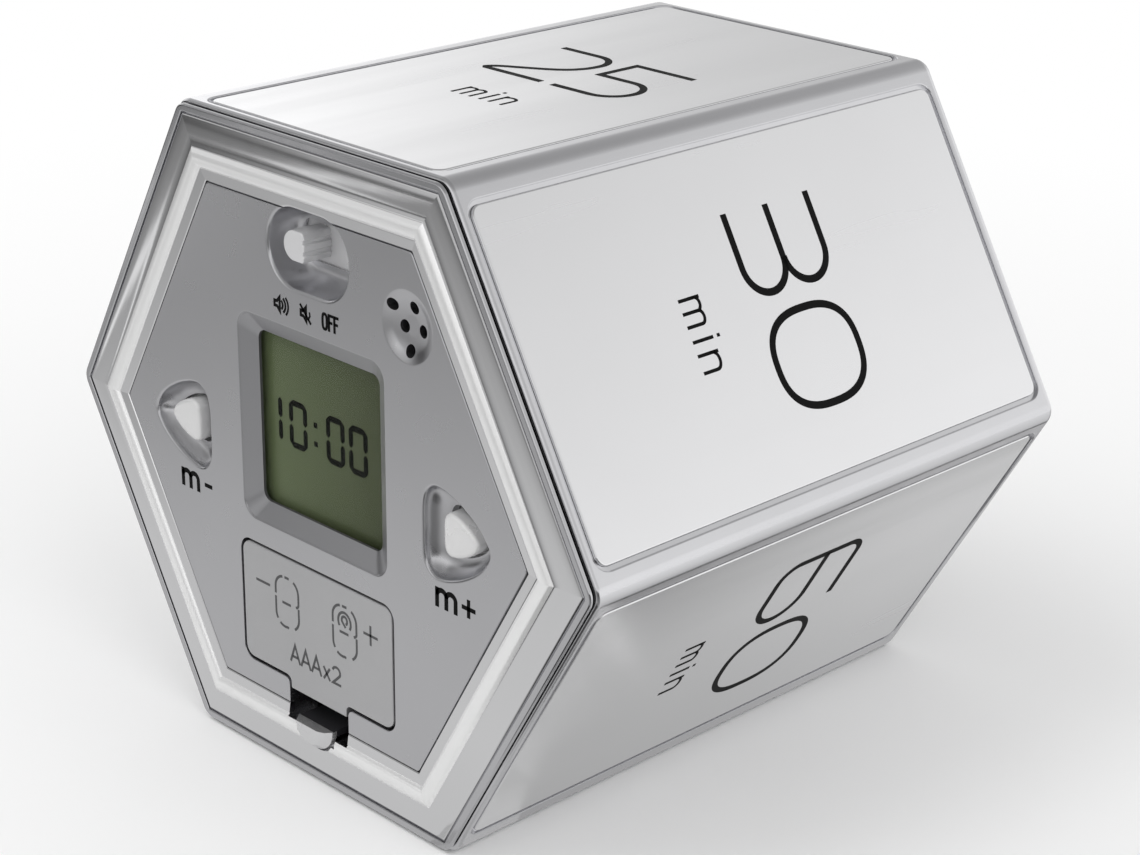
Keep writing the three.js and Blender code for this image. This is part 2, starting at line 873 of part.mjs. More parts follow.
// One inlaid plate, drawn for the upper side; a group turns it to its own side
function makePlate() {
  const geometry = new THREE.ExtrudeGeometry(
    new THREE.Shape(rectanglePoints(plateWidth, plateTall, plateCorner, 0, crestY + plateMiddle)),
    { depth: plateThickness, bevelEnabled: false },
  );
  geometry.translate(0, 0, apothem - plateThickness);
  return solid(geometry);
}

function makeHolder() {
  const front = glassBack + holderPlay;
  const back = boardFront - holderPlay;
  const outer = block(
    glassWidth + 2 * fitGap + 2 * glassWall,
    glassTall + 2 * fitGap + 2 * glassWall,
    front,
    back,
    0,
    displayHeight,
  );
  const opening = block(
    glassWidth - 2 * holderInset,
    glassTall - 2 * (connectorInset + connectorThickness + 2 * fitGap),
    front - overrun,
    back + overrun,
    0,
    displayHeight,
  );
  let body = outer.subtract(opening);
  for (const side of [-1, 1]) {
    body = body.subtract(
      block(
        connectorLength + 2 * fitGap,
        connectorThickness + 2 * seamGap,
        front - overrun,
        back + overrun,
        0,
        connectorPlace(side),
      ),
    );
  }
  return body;
}

function connectorPlace(side) {
  return displayHeight + side * (glassTall / 2 - connectorInset - connectorThickness / 2);
}

function makeConnector(side) {
  return block(connectorLength, connectorThickness, glassBack, boardFront, 0, connectorPlace(side));
}

function makeBoard() {
  const boardTop = boardCorner * Math.cos(Math.PI / 6);
  const lowerX = boardCorner - boardDrop / Math.tan(Math.PI / 3);
  const outline = [
    new THREE.Vector2(-boardCorner / 2, boardTop),
    new THREE.Vector2(-boardCorner, 0),
    new THREE.Vector2(-lowerX, -boardDrop),
    new THREE.Vector2(lowerX, -boardDrop),
    new THREE.Vector2(boardCorner, 0),
    new THREE.Vector2(boardCorner / 2, boardTop),
  ];
  let body = prism(outline, boardFront, boardBack);
  for (const side of [-1, 1]) {
    for (const [x, height] of panelScrews(side).slice(0, 2)) {
      body = body.subtract(rod(pilotRadius, boardFront - overrun, boardBack + overrun, x, height));
    }
  }
  return body;
}

// The knob: a ribbed post through the dish, with the shutter that closes the slot behind it
function makeKnob() {
  let body = prism(
    rectanglePoints(knobWidth, knobTall, knobCorner, knobX, dishHeight),
    panelFront - knobProud,
    shutterBack,
  );
  for (const side of [-1, 1]) {
    for (const end of [-1, 1]) {
      body = body.subtract(
        block(
          knobRidge,
          knobRidge,
          panelFront - knobProud - overrun,
          dishFloor,
          knobX + (end * knobWidth) / 2,
          dishHeight + (side * knobRidgeSpacing) / 2,
        ),
      );
    }
  }
  body = body.add(block(shutterLength, shutterTall, shutterFront, shutterBack, knobX, dishHeight));
  const socket = leverWidth + 2 * fitGap;
  body = body.add(
    block(socket + 2 * socketWall, socket + 2 * socketWall, shutterFront, socketBack, knobX, dishHeight),
  );
  return body.subtract(
    block(socket, socket, switchFront - leverReach - fitGap, socketBack + overrun, knobX, dishHeight),
  );
}

function makeSwitchBody() {
  const body = block(switchWidth, switchTall, switchFront, boardFront, 0, dishHeight);
  return body.subtract(
    block(
      leverWidth + knobTravel + 2 * fitGap,
      leverWidth + 2 * fitGap,
      switchFront - overrun,
      switchFront + leverDepth + fitGap,
      0,
      dishHeight,
    ),
  );
}

function makeLever() {
  return block(
    leverWidth,
    leverWidth,
    switchFront - leverReach,
    switchFront + leverDepth,
    knobX,
    dishHeight,
  );
}

function makeButton(side) {
  const cap = prism(buttonPoints(side, buttonStart, buttonLength, buttonHalf), buttonFront, buttonBack);
  const flange = prism(
    buttonPoints(
      side,
      buttonStart - buttonFlange,
      buttonLength + 2 * buttonFlange,
      buttonHalf + buttonFlange,
    ),
    flangePlane,
    buttonBack,
  );
  return cap.add(flange);
}

function makePlunger(side) {
  return rod(plungerRadius, buttonBack, tactFront + plungerSink, side * tactX, 0);
}

function makeTactBody(side) {
  const body = block(tactSize, tactSize, tactFront, boardFront, side * tactX);
  const well = tactFront + plungerSink + buttonTravel + fitGap;
  return body.subtract(rod(plungerRadius + fitGap, tactFront - overrun, well, side * tactX, 0));
}

function makeBuzzer() {
  const front = boardFront - buzzerBody;
  const body = rod(buzzerRadius, front, boardFront, grilleX, grilleHeight, drumSides);
  return body.subtract(
    rod(buzzerMouth, front - overrun, front + buzzerMouthDepth, grilleX, grilleHeight),
  );
}

function makeCrystal() {
  const geometry = new THREE.CylinderGeometry(crystalRadius, crystalRadius, crystalLength, holeSides);
  geometry.rotateZ(Math.PI / 2);
  geometry.translate(-crystalX, crestY + boardBack + crystalRadius, crystalHeight);
  return solid(geometry);
}

// The open box behind the battery door
function makeCompartment() {
  const wide = compartmentWidth + 2 * compartmentWall;
  const tall = compartmentTall + 2 * compartmentWall;
  let body = block(wide, tall, compartmentFront, compartmentBack, 0, -compartmentDrop);
  const hollow = block(
    compartmentWidth,
    compartmentTall,
    compartmentFront - overrun,
    rearPlateBack,
    0,
    -compartmentDrop,
  );
  body = body.subtract(hollow);
  for (const side of [-1, 1]) {
    const earMiddle = (side * (compartmentWidth + earWidth)) / 2;
    const ear = block(
      earWidth,
      earTall,
      boxBossBack,
      boxBossBack + earThickness,
      earMiddle + side * compartmentWall / 2,
      -compartmentDrop,
    );
    const hole = rod(
      pilotRadius,
      boxBossBack - overrun,
      boxBossBack + earThickness + overrun,
      side * boxBossX,
      -compartmentDrop,
    );
    const slit = block(
      contactTabWidth + 2 * fitGap,
      2 * (compartmentWall + fitGap),
      rearPlateFront - fitGap,
      rearPlateBack,
      side * cellX,
      compartmentTop,
    );
    body = body.add(ear).subtract(hole).subtract(slit);
  }
  return body;
}

// A battery: the nub is at the front on the right and at the rear on the left
function makeCell(side) {
  const front = side > 0 ? nearCellFront : farCellFront;
  const x = side * cellX;
  const height = -compartmentDrop;
  const canFront = side > 0 ? front + nubLength : front;
  const canBack = canFront + cellLength - nubLength;
  const can = rod(cellRadius, canFront, canBack, x, height, drumSides);
  const nubFront = side > 0 ? front : canBack - nubLength;
  return can.add(rod(nubRadius, nubFront, nubFront + 2 * nubLength, x, height));
}

// A coil of round wire between two depths
function coil(front, back, x, height) {
  const steps = springTurns * springTurnSteps;
  const length = back - front - 2 * springWire;
  const rise = length / (springTurns * 2 * Math.PI * springRadius);
  const loops = [];
  const path = [];
  for (let step = 0; step <= steps; step++) {
    const angle = (step / springTurnSteps) * 2 * Math.PI;
    const outward = new THREE.Vector3(Math.cos(angle), 0, Math.sin(angle));
    const along = new THREE.Vector3(-Math.sin(angle), rise, Math.cos(angle)).normalize();
    const across = new THREE.Vector3().crossVectors(outward, along);
    const centre = outward.clone().multiplyScalar(springRadius);
    centre.add(new THREE.Vector3(x, crestY + front + springWire + (step / steps) * length, height));
    path.push(centre);
    const loop = [];
    for (let side = 0; side < springWireSides; side++) {
      const turn = (side / springWireSides) * 2 * Math.PI;
      const point = centre.clone();
      point.addScaledVector(outward, springWire * Math.cos(turn));
      point.addScaledVector(across, springWire * Math.sin(turn));
      loop.push(point);
    }
    loops.push(loop);
  }
  reportLeastGap(path);
  return loft(loops);
}

// The least free space between two turns of a coil
function reportLeastGap(path) {
  let least = Infinity;
  path.forEach((here, index) => {
    for (const there of path.slice(index + springTurnSteps / 2)) {
      least = Math.min(least, here.distanceTo(there));
    }
  });
  console.log("least gap between spring turns, mm:", (least - 2 * springWire).toFixed(2));
}

// The plate on the back of the door that joins both cells, with the spring of the left cell
function makeDoorContact() {
  const plate = block(
    2 * cellX + contactSize,
    contactSize,
    doorBack,
    doorContactBack,
    0,
    -compartmentDrop,
  );
  const spring = coil(
    doorContactBack - springWire,
    farCellFront - fitGap,
    -cellX,
    -compartmentDrop,
  );
  return plate.add(spring);
}

// A contact at the rear of the compartment, with a tab for its lead
function makeRearContact(side) {
  const tabTop = compartmentTop + contactTabReach;
  const tab = block(
    contactTabWidth,
    tabTop + compartmentDrop,
    rearPlateFront,
    rearPlateBack,
    side * cellX,
    (tabTop - compartmentDrop) / 2,
  );
  const plate = block(
    contactSize,
    contactSize,
    rearPlateFront,
    rearPlateBack,
    side * cellX,
    -compartmentDrop,
  );
  return plate.add(tab);
}

function makeRearSpring() {
  const front = nearCellFront + cellLength + fitGap;
  return makeRearContact(1).add(
    coil(front, rearPlateFront + springWire, cellX, -compartmentDrop),
  );
}

// The lead from a rear contact, along the top of the compartment, to the board
function makeLead(side) {
  const x = side * cellX;
  const low = compartmentTop + leadRadius + fitGap;
  const start = crestY + rearPlateFront - fitGap;
  const end = crestY + boardBack + fitGap;
  const place = (depth, height) => new THREE.Vector3(x, depth, height);
  const path = new THREE.CatmullRomCurve3([
    place(start, low),
    place(start - leadBend, low),
    place((start + end) / 2, low),
    place(end + 2 * leadBend, low),
    place(end + leadBend, low + leadRise / 2),
    place(end + leadBend / 2, low + leadRise),
    place(end, low + leadRise),
  ]);
  const section = [];
  for (let corner = 0; corner < leadSides; corner++) {
    const angle = (corner / leadSides) * 2 * Math.PI;
    section.push(new THREE.Vector2(leadRadius * Math.cos(angle), leadRadius * Math.sin(angle)));
  }
  return solid(
    new THREE.ExtrudeGeometry(new THREE.Shape(section), {
      steps: leadSteps,
      extrudePath: path,
      bevelEnabled: false,
    }),
  );
}

// A slab that runs across the timer, from an outline that holds depth and height
function slabAcross(outline, width, x = 0) {
  const geometry = new THREE.ExtrudeGeometry(new THREE.Shape(outline), {
    depth: width,
    bevelEnabled: false,
  });
  const along = new THREE.Vector3(0, 1, 0);
  const up = new THREE.Vector3(0, 0, 1);
  const across = new THREE.Vector3(1, 0, 0);
  geometry.applyMatrix4(new THREE.Matrix4().makeBasis(along, up, across));
  geometry.translate(x - width / 2, crestY, 0);
  return solid(geometry);
}

// One half of the clip's bend: a curved slab around the middle between its two legs
function bendHalf(side) {
  const gapAngle = fitGap / (bendInner + bendOuter);
  const outline = [];
  const add = (radius, step) => {
    const angle = Math.PI / 2 - (step / clipBendSteps) * (Math.PI / 2 - gapAngle);
    const height = side * radius * Math.sin(angle) - clipMiddle;
    outline.push(new THREE.Vector2(clipLeg + radius * Math.cos(angle), height));
  };
  for (let step = 0; step <= clipBendSteps; step++) {
    add(bendOuter, step);
  }
  for (let step = clipBendSteps; step >= 0; step--) {
    add(bendInner, step);
  }
  return slabAcross(outline, 2 * clipHalf);
}

// The hooks that hold the upper edge of the door behind the panel
function makeHook(side) {
  const front = panelBack + fitGap;
  const back = front + hookThickness;
  const outline = [
    new THREE.Vector2(doorBack - doorGap, -doorTop - hookArm),
    new THREE.Vector2(back, -doorTop - hookArm),
    new THREE.Vector2(back, hookRise - doorTop),
    new THREE.Vector2(front, hookRise - doorTop),
    new THREE.Vector2(front, -doorTop),
    new THREE.Vector2(doorBack - doorGap, -doorTop),
  ];
  return slabAcross(outline, hookWidth, side * hookX);
}

function makeDoor() {
  const tall = doorBottom - doorTop;
  const middle = -(doorBottom + doorTop) / 2;
  const plate = prism(rectanglePoints(doorWidth, tall, doorCorner, 0, middle), panelFront, doorBack);
  const tab = block(
    2 * doorTabHalf,
    2 * (doorTabBottom - doorBottom),
    panelFront,
    doorBack,
    0,
    -doorBottom,
  );
  const leg = block(
    2 * clipHalf,
    clipThickness,
    doorBack - doorGap,
    clipLeg,
    0,
    clipThickness / 2 - doorTabBottom,
  );
  return plate.add(tab).add(leg).add(bendHalf(1)).add(makeHook(1)).add(makeHook(-1));
}

// The free leg of the clip with the finger pad, which is squeezed towards the door
function makeLatch() {
  const leg = block(
    2 * clipHalf,
    clipThickness,
    panelFront - padProud,
    clipLeg,
    0,
    -clipLower - clipThickness / 2,
  );
  const half = (radius) => {
    const points = [];
    for (let step = 0; step <= padSteps; step++) {
      const angle = Math.PI * (1 + step / padSteps);
      points.push(new THREE.Vector2(radius * Math.cos(angle), radius * Math.sin(angle) - clipLower));
    }
    return points;
  };
  const pad = loft([
    loopAt(half(padTopRadius), -padProud),
    loopAt(half(padRadius), padRadius - padTopRadius - padProud),
    loopAt(half(padRadius), padDepth),
  ]);
  return leg.add(bendHalf(-1)).add(pad);
}

addPart("housing", makeHousing(), "silver");
addPart("front_ring", makeFrontRing(), "rim");
addPart("front_bezel", makeFrontBezel(), "chrome");
addPart("front_panel", makeFrontPanel(), "panel");
addPart("rear_cover", makeRearCover(), "rim");

// The plates in turn around the axis, starting from the one on top
const minutes = ["25", "30", "60", "05", "10", "15"];
minutes.forEach((label, index) => {
  const turned = new THREE.Group();
  turned.rotation.y = (index * Math.PI) / 3;
  assembly.add(turned);
  addPart("face_plate_" + label, makePlate(), "plate", turned);
});

const glassAt = [0, displayHeight];
addPart("display_window", block(glassWidth, glassTall, windowFront, glassFront, ...glassAt), "window");
addPart("lcd_glass", block(glassWidth, glassTall, glassFront, glassBack, ...glassAt), "glass");
const reflector = block(
  glassWidth - 2 * holderInset - 2 * fitGap,
  glassTall - 2 * (connectorInset + connectorThickness + 3 * fitGap),
  glassBack,
  glassBack + reflectorThickness,
  ...glassAt,
);
addPart("lcd_reflector", reflector, "foil");
addPart("lcd_holder", makeHolder(), "black");
addPart("lcd_connector_upper", makeConnector(1), "rubber");
addPart("lcd_connector_lower", makeConnector(-1), "rubber");
addPart("main_board", makeBoard(), "board");

addPart("slide_knob", makeKnob(), "silver");
addPart("slide_switch_lever", makeLever(), "black");
addPart("slide_switch_body", makeSwitchBody(), "steel");

for (const [name, side] of [
  ["minus", -1],
  ["plus", 1],
]) {
  addPart(name + "_button", makeButton(side), "button");
  addPart(name + "_plunger", makePlunger(side), "black");
  addPart(name + "_switch_body", makeTactBody(side), "steel");
}

addPart("buzzer", makeBuzzer(), "black");
const onBoard = (size, thickness, x, height) => {
  return block(size, size, boardBack, boardBack + thickness, x, height);
};
addPart("controller_chip", onBoard(controllerSize, controllerThickness, 0, controllerHeight), "dark");
addPart("orientation_sensor", onBoard(sensorSize, sensorThickness, sensorX, sensorHeight), "dark");
addPart("timing_crystal", makeCrystal(), "steel");
const capacitorBack = boardBack + capacitorLength;
addPart(
  "smoothing_capacitor",
  rod(capacitorRadius, boardBack, capacitorBack, -capacitorX, capacitorHeight),
  "steel",
);

addPart("battery_box", makeCompartment(), "black");
addPart("battery_right", makeCell(1), "cell");
addPart("battery_left", makeCell(-1), "cell");
addPart("rear_spring_contact", makeRearSpring(), "steel");
addPart("rear_plate_contact", makeRearContact(-1), "steel");
addPart("negative_lead", makeLead(1), "dark");
addPart("positive_lead", makeLead(-1), "red");

const doorGroup = new THREE.Group();
assembly.add(doorGroup);
addPart("battery_door", makeDoor(), "door", doorGroup);
addPart("door_contact", makeDoorContact(), "steel", doorGroup);
addPart("door_latch", makeLatch(), "pad", doorGroup);

caseScrewAngles.forEach((degrees, index) => {
  const [x, height] = caseScrewPlace(degrees);
  addPart("front_screw_" + (index + 1), screw(frontScrewBearing, 1, x, height), "steel");
  addPart("rear_screw_" + (index + 1), screw(rearScrewBearing, -1, x, height), "steel");
});
for (const side of [-1, 1]) {
  const [upper, lower, box] = panelScrews(side);
  const label = side < 0 ? "left" : "right";
  for (const [name, [x, height, bearing]] of [
    ["board_screw_upper_", upper],
    ["board_screw_lower_", lower],
    ["box_screw_", box],
  ]) {
    addPart(name + label, screw(bearing, -1, x, height), "steel");
  }
}

export default root;
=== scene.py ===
# The looks of the hexagonal flip timer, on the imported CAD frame.
# Shapes are drawn in millimetres: x to the right seen from the front, depth from the crest of the
# front moulding towards the rear, height from the axis. A finished piece is moved to metres.
import math

import bmesh
import bpy
import numpy as np
from mathutils import Matrix, Vector


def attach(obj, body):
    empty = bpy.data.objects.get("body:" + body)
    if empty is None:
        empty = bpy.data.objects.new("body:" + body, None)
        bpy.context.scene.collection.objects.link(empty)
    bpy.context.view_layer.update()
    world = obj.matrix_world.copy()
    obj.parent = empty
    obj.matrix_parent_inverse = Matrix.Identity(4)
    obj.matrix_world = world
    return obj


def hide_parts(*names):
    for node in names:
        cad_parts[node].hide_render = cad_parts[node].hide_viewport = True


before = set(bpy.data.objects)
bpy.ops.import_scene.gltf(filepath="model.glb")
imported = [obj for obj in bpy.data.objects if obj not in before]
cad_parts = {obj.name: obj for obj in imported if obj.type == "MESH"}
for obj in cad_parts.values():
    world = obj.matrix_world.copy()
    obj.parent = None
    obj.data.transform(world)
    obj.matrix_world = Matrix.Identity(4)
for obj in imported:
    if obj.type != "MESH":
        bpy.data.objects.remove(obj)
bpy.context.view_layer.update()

MM = 0.001
CREST = -32.3  # where depth 0 lies along the axis
AXIS = 32.5  # height of the axis above the floor

# Sizes of the part, as its source has them
APOTHEM = 32.5
EDGE = 2.0
INNER = 30.0
SEAM_FRONT, CASE_FRONT, CASE_BACK, LENGTH = 0.8, 1.1, 63.5, 65.5
RIM_INSET, CASE_ROUNDING, REAR_ROUNDING = 0.35, 0.4, 1.2
COVER, FLANGE, PANEL_REACH = 29.7, 29.7, 25.25
LAND = 0.5
BEZEL_OUT, BEZEL_BACK = 31.16, 1.0
PANEL_FRONT, PANEL_BACK, FLANGE_FRONT, FLANGE_BACK = 0.5, 2.5, 1.9, 3.9
SIDE = 2 * APOTHEM * math.tan(math.pi / 6)
PLATE_WIDE = SIDE - 5.2
PLATE_FRONT, PLATE_BACK = 2.3, 63.45
PLATE_LONG = PLATE_BACK - PLATE_FRONT
PLATE_GAP, GLUE, GROOVE = 0.45, 0.25, 0.34
PLATE_THICK = 0.9
PLATE_TOP = APOTHEM - 0.04
PLATE_CORNER = 1.1
MIDDLE = (PLATE_FRONT + PLATE_BACK) / 2
DISPLAY, DISH = 3.4, 21.7  # heights of their middles
GRILLE_X, GRILLE_HEIGHT = 13.2, 18.15
WINDOW_FRONT, GLASS_FRONT, GLASS_BACK = 1.87, 2.57, 4.57
KEY_TOP = 0.8
KNOB_X, KNOB_FRONT, SHUTTER = -2.0, 0.75, 4.0
DROP, CELL_X, CELL_LONG = 16.4, 5.4, 44.5
TAB_BOTTOM, CLIP_LOWER, CLIP_WIDE, CLIP_THICK = 23.6, 25.75, 5.0, 0.7
PAD_RADIUS, PAD_HOLE = 2.6, 2.9
# half the width and the lower end of the notch before the latch, and of the gap for its clip
NOTCH, NOTCH_LOW, CLIP_GAP, CLIP_GAP_LOW = 4.45, -26.7, 2.8, -27.45
SCREW_BORE, HEAD_BORE = 1.15, 2.1
REAR_BEARING = LENGTH - 1.2
BOSS_RADIUS, BOSS_LONG = 2.9, 9
BOSS_REACH = 27.37 / math.cos(math.pi / 6)
# x and height of the screws at four corners
BOSSES = [(BOSS_REACH * math.cos(a), BOSS_REACH * math.sin(a))
          for a in map(math.radians, (60, 120, 240, 300))]
# Screws of the panel at its right, and mirrored: x, height, bearing, and radius and end of the boss
PANEL_SCREWS = [(18.5, 11.0, 11.0, 2, 9.4), (14.4, -6.2, 11.0, 2, 9.4), (15.4, -DROP, 8.6, 2.2, 7.0)]


# ---- shapes

def mesh_object(name, points, faces):
    mesh = bpy.data.meshes.new(name)
    mesh.from_pydata([tuple(map(float, p)) for p in points], [], [tuple(map(int, f)) for f in faces])
    work = bmesh.new()
    work.from_mesh(mesh)
    bmesh.ops.recalc_face_normals(work, faces=work.faces)
    work.to_mesh(mesh)
    work.free()
    obj = bpy.data.objects.new(name, mesh)
    bpy.context.scene.collection.objects.link(obj)
    return obj


def at(outline, depth):
    """An outline of x and height, laid at a depth."""
    outline = np.asarray(outline, float)
    return np.column_stack([outline[:, 0], np.full(len(outline), depth), outline[:, 1]])


def wall_faces(rows, count, around=False):
    faces = []
    for row in range(rows if around else rows - 1):
        here = row * count
        there = ((row + 1) % rows) * count
        for k in range(count):
            n = (k + 1) % count
            faces.append((here + k, here + n, there + n, there + k))
    return faces


def loft(loops):
    """A solid through loops of as many points each, with flat ends."""
    count = len(loops[0])
    faces = wall_faces(len(loops), count)
    last = (len(loops) - 1) * count
    faces.append(tuple(range(count)))
    faces.append(tuple(last + k for k in range(count)))
    return mesh_object("part", np.concatenate(loops), faces)


def ring(loops):
    """A ring, from one loop for each corner of its section."""
    return mesh_object("part", np.concatenate(loops), wall_faces(len(loops), len(loops[0]), True))


def remove(obj):
    mesh = obj.data
    bpy.data.objects.remove(obj)
    bpy.data.meshes.remove(mesh)


def combined(body, tool, operation):
    """Applies a boolean to a body and removes the tool."""
    change = body.modifiers.new("cut", "BOOLEAN")
    change.operation = operation
    change.solver = "MANIFOLD"
    change.object = tool
    graph = bpy.context.evaluated_depsgraph_get()
    mesh = bpy.data.meshes.new_from_object(body.evaluated_get(graph))
    body.modifiers.clear()
    old = body.data
    body.data = mesh
    bpy.data.meshes.remove(old)
    remove(tool)
    if len(body.data.polygons) < 4:
        raise RuntimeError("a boolean left nothing of " + body.name)


def cut(body, *tools):
    for tool in tools:
        combined(body, tool, "DIFFERENCE")
    return body


def add(body, *tools):
    for tool in tools:
        combined(body, tool, "UNION")
    return body


def joined(objects):
    """One object with the meshes of several. They aren't merged."""
    points, faces = [], []
    for obj in objects:
        start = len(points)
        points += [tuple(v.co) for v in obj.data.vertices]
        faces += [tuple(start + i for i in p.vertices) for p in obj.data.polygons]
        remove(obj)
    mesh = bpy.data.meshes.new("joined")
    mesh.from_pydata(points, [], faces)
    result = bpy.data.objects.new("joined", mesh)
    bpy.context.scene.collection.objects.link(result)
    return result


# ---- outlines

def arc(cx, cy, rx, ry, start, end, steps):
    angles = np.radians(np.linspace(start, end, steps + 1))
    return [(cx + rx * math.cos(a), cy + ry * math.sin(a)) for a in angles]


def hexagon(reach, corner=0.0, steps=10):
    """A hexagon by the distance of its sides from the middle. Its corners can be rounded."""
    centre = (reach - corner) / math.cos(math.pi / 6)
    points = []
    for middle in range(0, 360, 60):
        x, y = centre * math.cos(math.radians(middle)), centre * math.sin(math.radians(middle))
        points += arc(x, y, corner, corner, middle - 30, middle + 30, steps if corner else 0)
    return np.array(points)


def rectangle(width, tall, corner, x, height, steps=8):
    points = []
    for start, right, up in ((0, 1, 1), (90, -1, 1), (180, -1, -1), (270, 1, -1)):
        middle = x + right * (width / 2 - corner), height + up * (tall / 2 - corner)
        points += arc(*middle, corner, corner, start, start + 90, steps)
    return np.array(points)


def circle(radius, x=0.0, height=0.0, sides=48):
    angles = np.arange(sides) / sides * 2 * math.pi
    return np.column_stack([x + radius * np.cos(angles), height + radius * np.sin(angles)])


def spline(points, steps):
    """A Catmull-Rom curve through points."""
    points = [np.asarray(p, float) for p in points]
    last = len(points) - 1
    result = []
    for k in range(last):
        a, b, c, d = points[max(k - 1, 0)], points[k], points[k + 1], points[min(k + 2, last)]
        for t in np.arange(steps) / steps:
            result.append(0.5 * (2 * b + (c - a) * t + (2 * a - 5 * b + 4 * c - d) * t * t
                                 + (3 * b - a - 3 * c + d) * t ** 3))
    return np.array(result + [points[-1]])


def mitres(path, closed, least):
    """Normals to the right of a path, made longer at its corners. least keeps sharp ones short."""
    after = np.roll(path, -1, axis=0) - path
    before = np.roll(after, 1, axis=0)
    if not closed:
        before[0], after[-1] = after[0], before[-1]
    for way in (before, after):
        way /= np.maximum(np.linalg.norm(way, axis=1, keepdims=True), 1e-9)
    normals = np.column_stack([before[:, 1] + after[:, 1], -before[:, 0] - after[:, 0]])
    length = np.linalg.norm(normals, axis=1, keepdims=True)
    return normals / length * 2 / np.maximum(length, least)


def grown(outline, amount):
    """An outline moved outwards along its normals. It runs anticlockwise."""
    return outline + mitres(outline, True, 1.2) * amount


def anticlockwise(outline):
    x, y = outline[:, 0], outline[:, 1]
    area = np.sum(x * np.roll(y, -1) - y * np.roll(x, -1))
    return outline if area > 0 else outline[::-1]


# The upper half of a key's outline: shares of its length and of its half height
BUTTON_SHARES = [
    (0.0, 0.0), (0.0, 0.34), (0.01, 0.56), (0.04, 0.76), (0.1, 0.91), (0.19, 0.99), (0.3, 0.98), (0.4, 0.93),
    (0.56, 0.81), (0.73, 0.62), (0.86, 0.42), (0.945, 0.22), (0.985, 0.07),
]


def button_outline(side, start, length, half):
    upper = [(start + along * length, up * half) for along, up in BUTTON_SHARES]
    lower = [(x, -y) for x, y in reversed(upper[1:])]
    curve = spline(upper + lower, 6)
    curve[:, 0] *= side
    return anticlockwise(curve)


def prism(outline, front, back):
    return loft([at(outline, front), at(outline, back)])


def hexagonal(reach, front, back):
    """A hexagonal prism with small rounded corners."""
    return prism(hexagon(reach, 0.5, 3), front, back)


def rod(radius, front, back, x, height, sides=48):
    return prism(circle(radius, x, height, sides), front, back)


def bore(radius, front, back, x, height):
    return rod(radius, front, back, x, height, 24)


def block(width, tall, front, back, x, height):
    corners = [(x - width / 2, height - tall / 2), (x + width / 2, height - tall / 2),
               (x + width / 2, height + tall / 2), (x - width / 2, height + tall / 2)]
    return prism(np.array(corners), front, back)


def quarter(steps, first=0):
    """Steps of a quarter round: the share that is left inwards, and the share that is done along."""
    angles = [step / steps * math.pi / 2 for step in range(first, steps + 1)]
    return [(1 - math.sin(a), 1 - math.cos(a)) for a in angles]


def rounded_prism(outline, front, back, rounding, back_rounding=0.0):
    """A prism whose front edge, and back edge if asked, is rounded inwards."""
    outline = anticlockwise(outline)
    loops = [at(grown(outline, -rounding * left), front + rounding * done) for left, done in quarter(4)]
    if back_rounding:
        loops += [at(grown(outline, -back_rounding * done), back - back_rounding * left)
                  for left, done in quarter(4)]
    else:
        loops.append(at(outline, back))
    return loft(loops)


def lip_loops(mouth, front, lip, steps):
    """Loops of an opening's front edge, rounded over, from 1 mm before it."""
    loops = [at(grown(mouth, lip), front - 1.0)]
    return loops + [at(grown(mouth, lip * left), front + lip * done) for left, done in quarter(steps)]


def dish(mouth, floor, front, depth, lip, steps, power=1.0):
    """A hollow with a rounded lip, whose wall turns into its floor."""
    mouth, floor = anticlockwise(mouth), anticlockwise(floor)
    loops = lip_loops(mouth, front, lip, 6)
    for step in range(1, steps + 1):
        a = step / steps * math.pi / 2
        inward = (1 - math.cos(a)) ** power
        loops.append(at(mouth + (floor - mouth) * inward, front + lip + (depth - lip) * math.sin(a)))
    return loft(loops)


def groove_mouth(outline, front, back, lip):
    """A straight-walled opening whose front edge is rounded over."""
    outline = anticlockwise(outline)
    return loft(lip_loops(outline, front, lip, 4) + [at(outline, back)])


# ---- strokes, for signs

def oval(cx, cy, rx, ry, power, steps=72):
    points = []
    for k in range(steps):
        a = k / steps * 2 * math.pi
        c, s = math.cos(a), math.sin(a)
        points.append((
            cx + rx * math.copysign(abs(c) ** (2 / power), c),
            cy + ry * math.copysign(abs(s) ** (2 / power), s),
        ))
    return points


def ribbon(path, width, closed):
    """The left and right edges of a stroke along a path."""
    path = np.asarray(path, float)
    step = np.linalg.norm(path - np.roll(path, 1, axis=0), axis=1)
    if not closed:
        step[0] = 1.0
    path = path[step > 1e-4]
    half = mitres(path, closed, 0.7) * width / 2
    return path - half, path + half


def stroke(path, width, place, low, high, closed=False):
    """A stroke as a thin closed solid. place turns a point of the sign, at a level, into one of the part."""
    left, right = ribbon(path, width, closed)
    count = len(left)
    points = []
    for a, b in zip(left, right):
        points += [place(*a, low), place(*b, low), place(*b, high), place(*a, high)]
    faces = []
    for k in range(count if closed else count - 1):
        a, b = 4 * k, 4 * ((k + 1) % count)
        for j in range(4):
            n = (j + 1) % 4
            faces.append((a + j, a + n, b + n, b + j))
    if not closed:
        faces.append((0, 1, 2, 3))
        last = 4 * (count - 1)
        faces.append((last + 3, last + 2, last + 1, last))
    return mesh_object("stroke", points, faces)


def patch(outline, place, low, high):
    """A filled outline as a thin closed solid."""
    loops = [np.array([place(x, y, level) for x, y in outline]) for level in (low, high)]
    return loft(loops)


# ---- materials

# of the noises that vary the tint, the roughness and the window
BROAD_SCALE, GRAIN_SCALE, WINDOW_SCALE = 42.0, 220.0, 120.0
BUMP_DISTANCE = 0.0001
# the display glass darkens towards its second tone from minus this x to this x, in metres: painted shade
GLASS_EDGE = 0.009
GLASS_UNEVEN = 0.2


def emptied_tree(owner):
    """The node tree of a material or a world, with nothing in it."""
    owner.use_nodes = True
    owner.node_tree.nodes.clear()
    return owner.node_tree


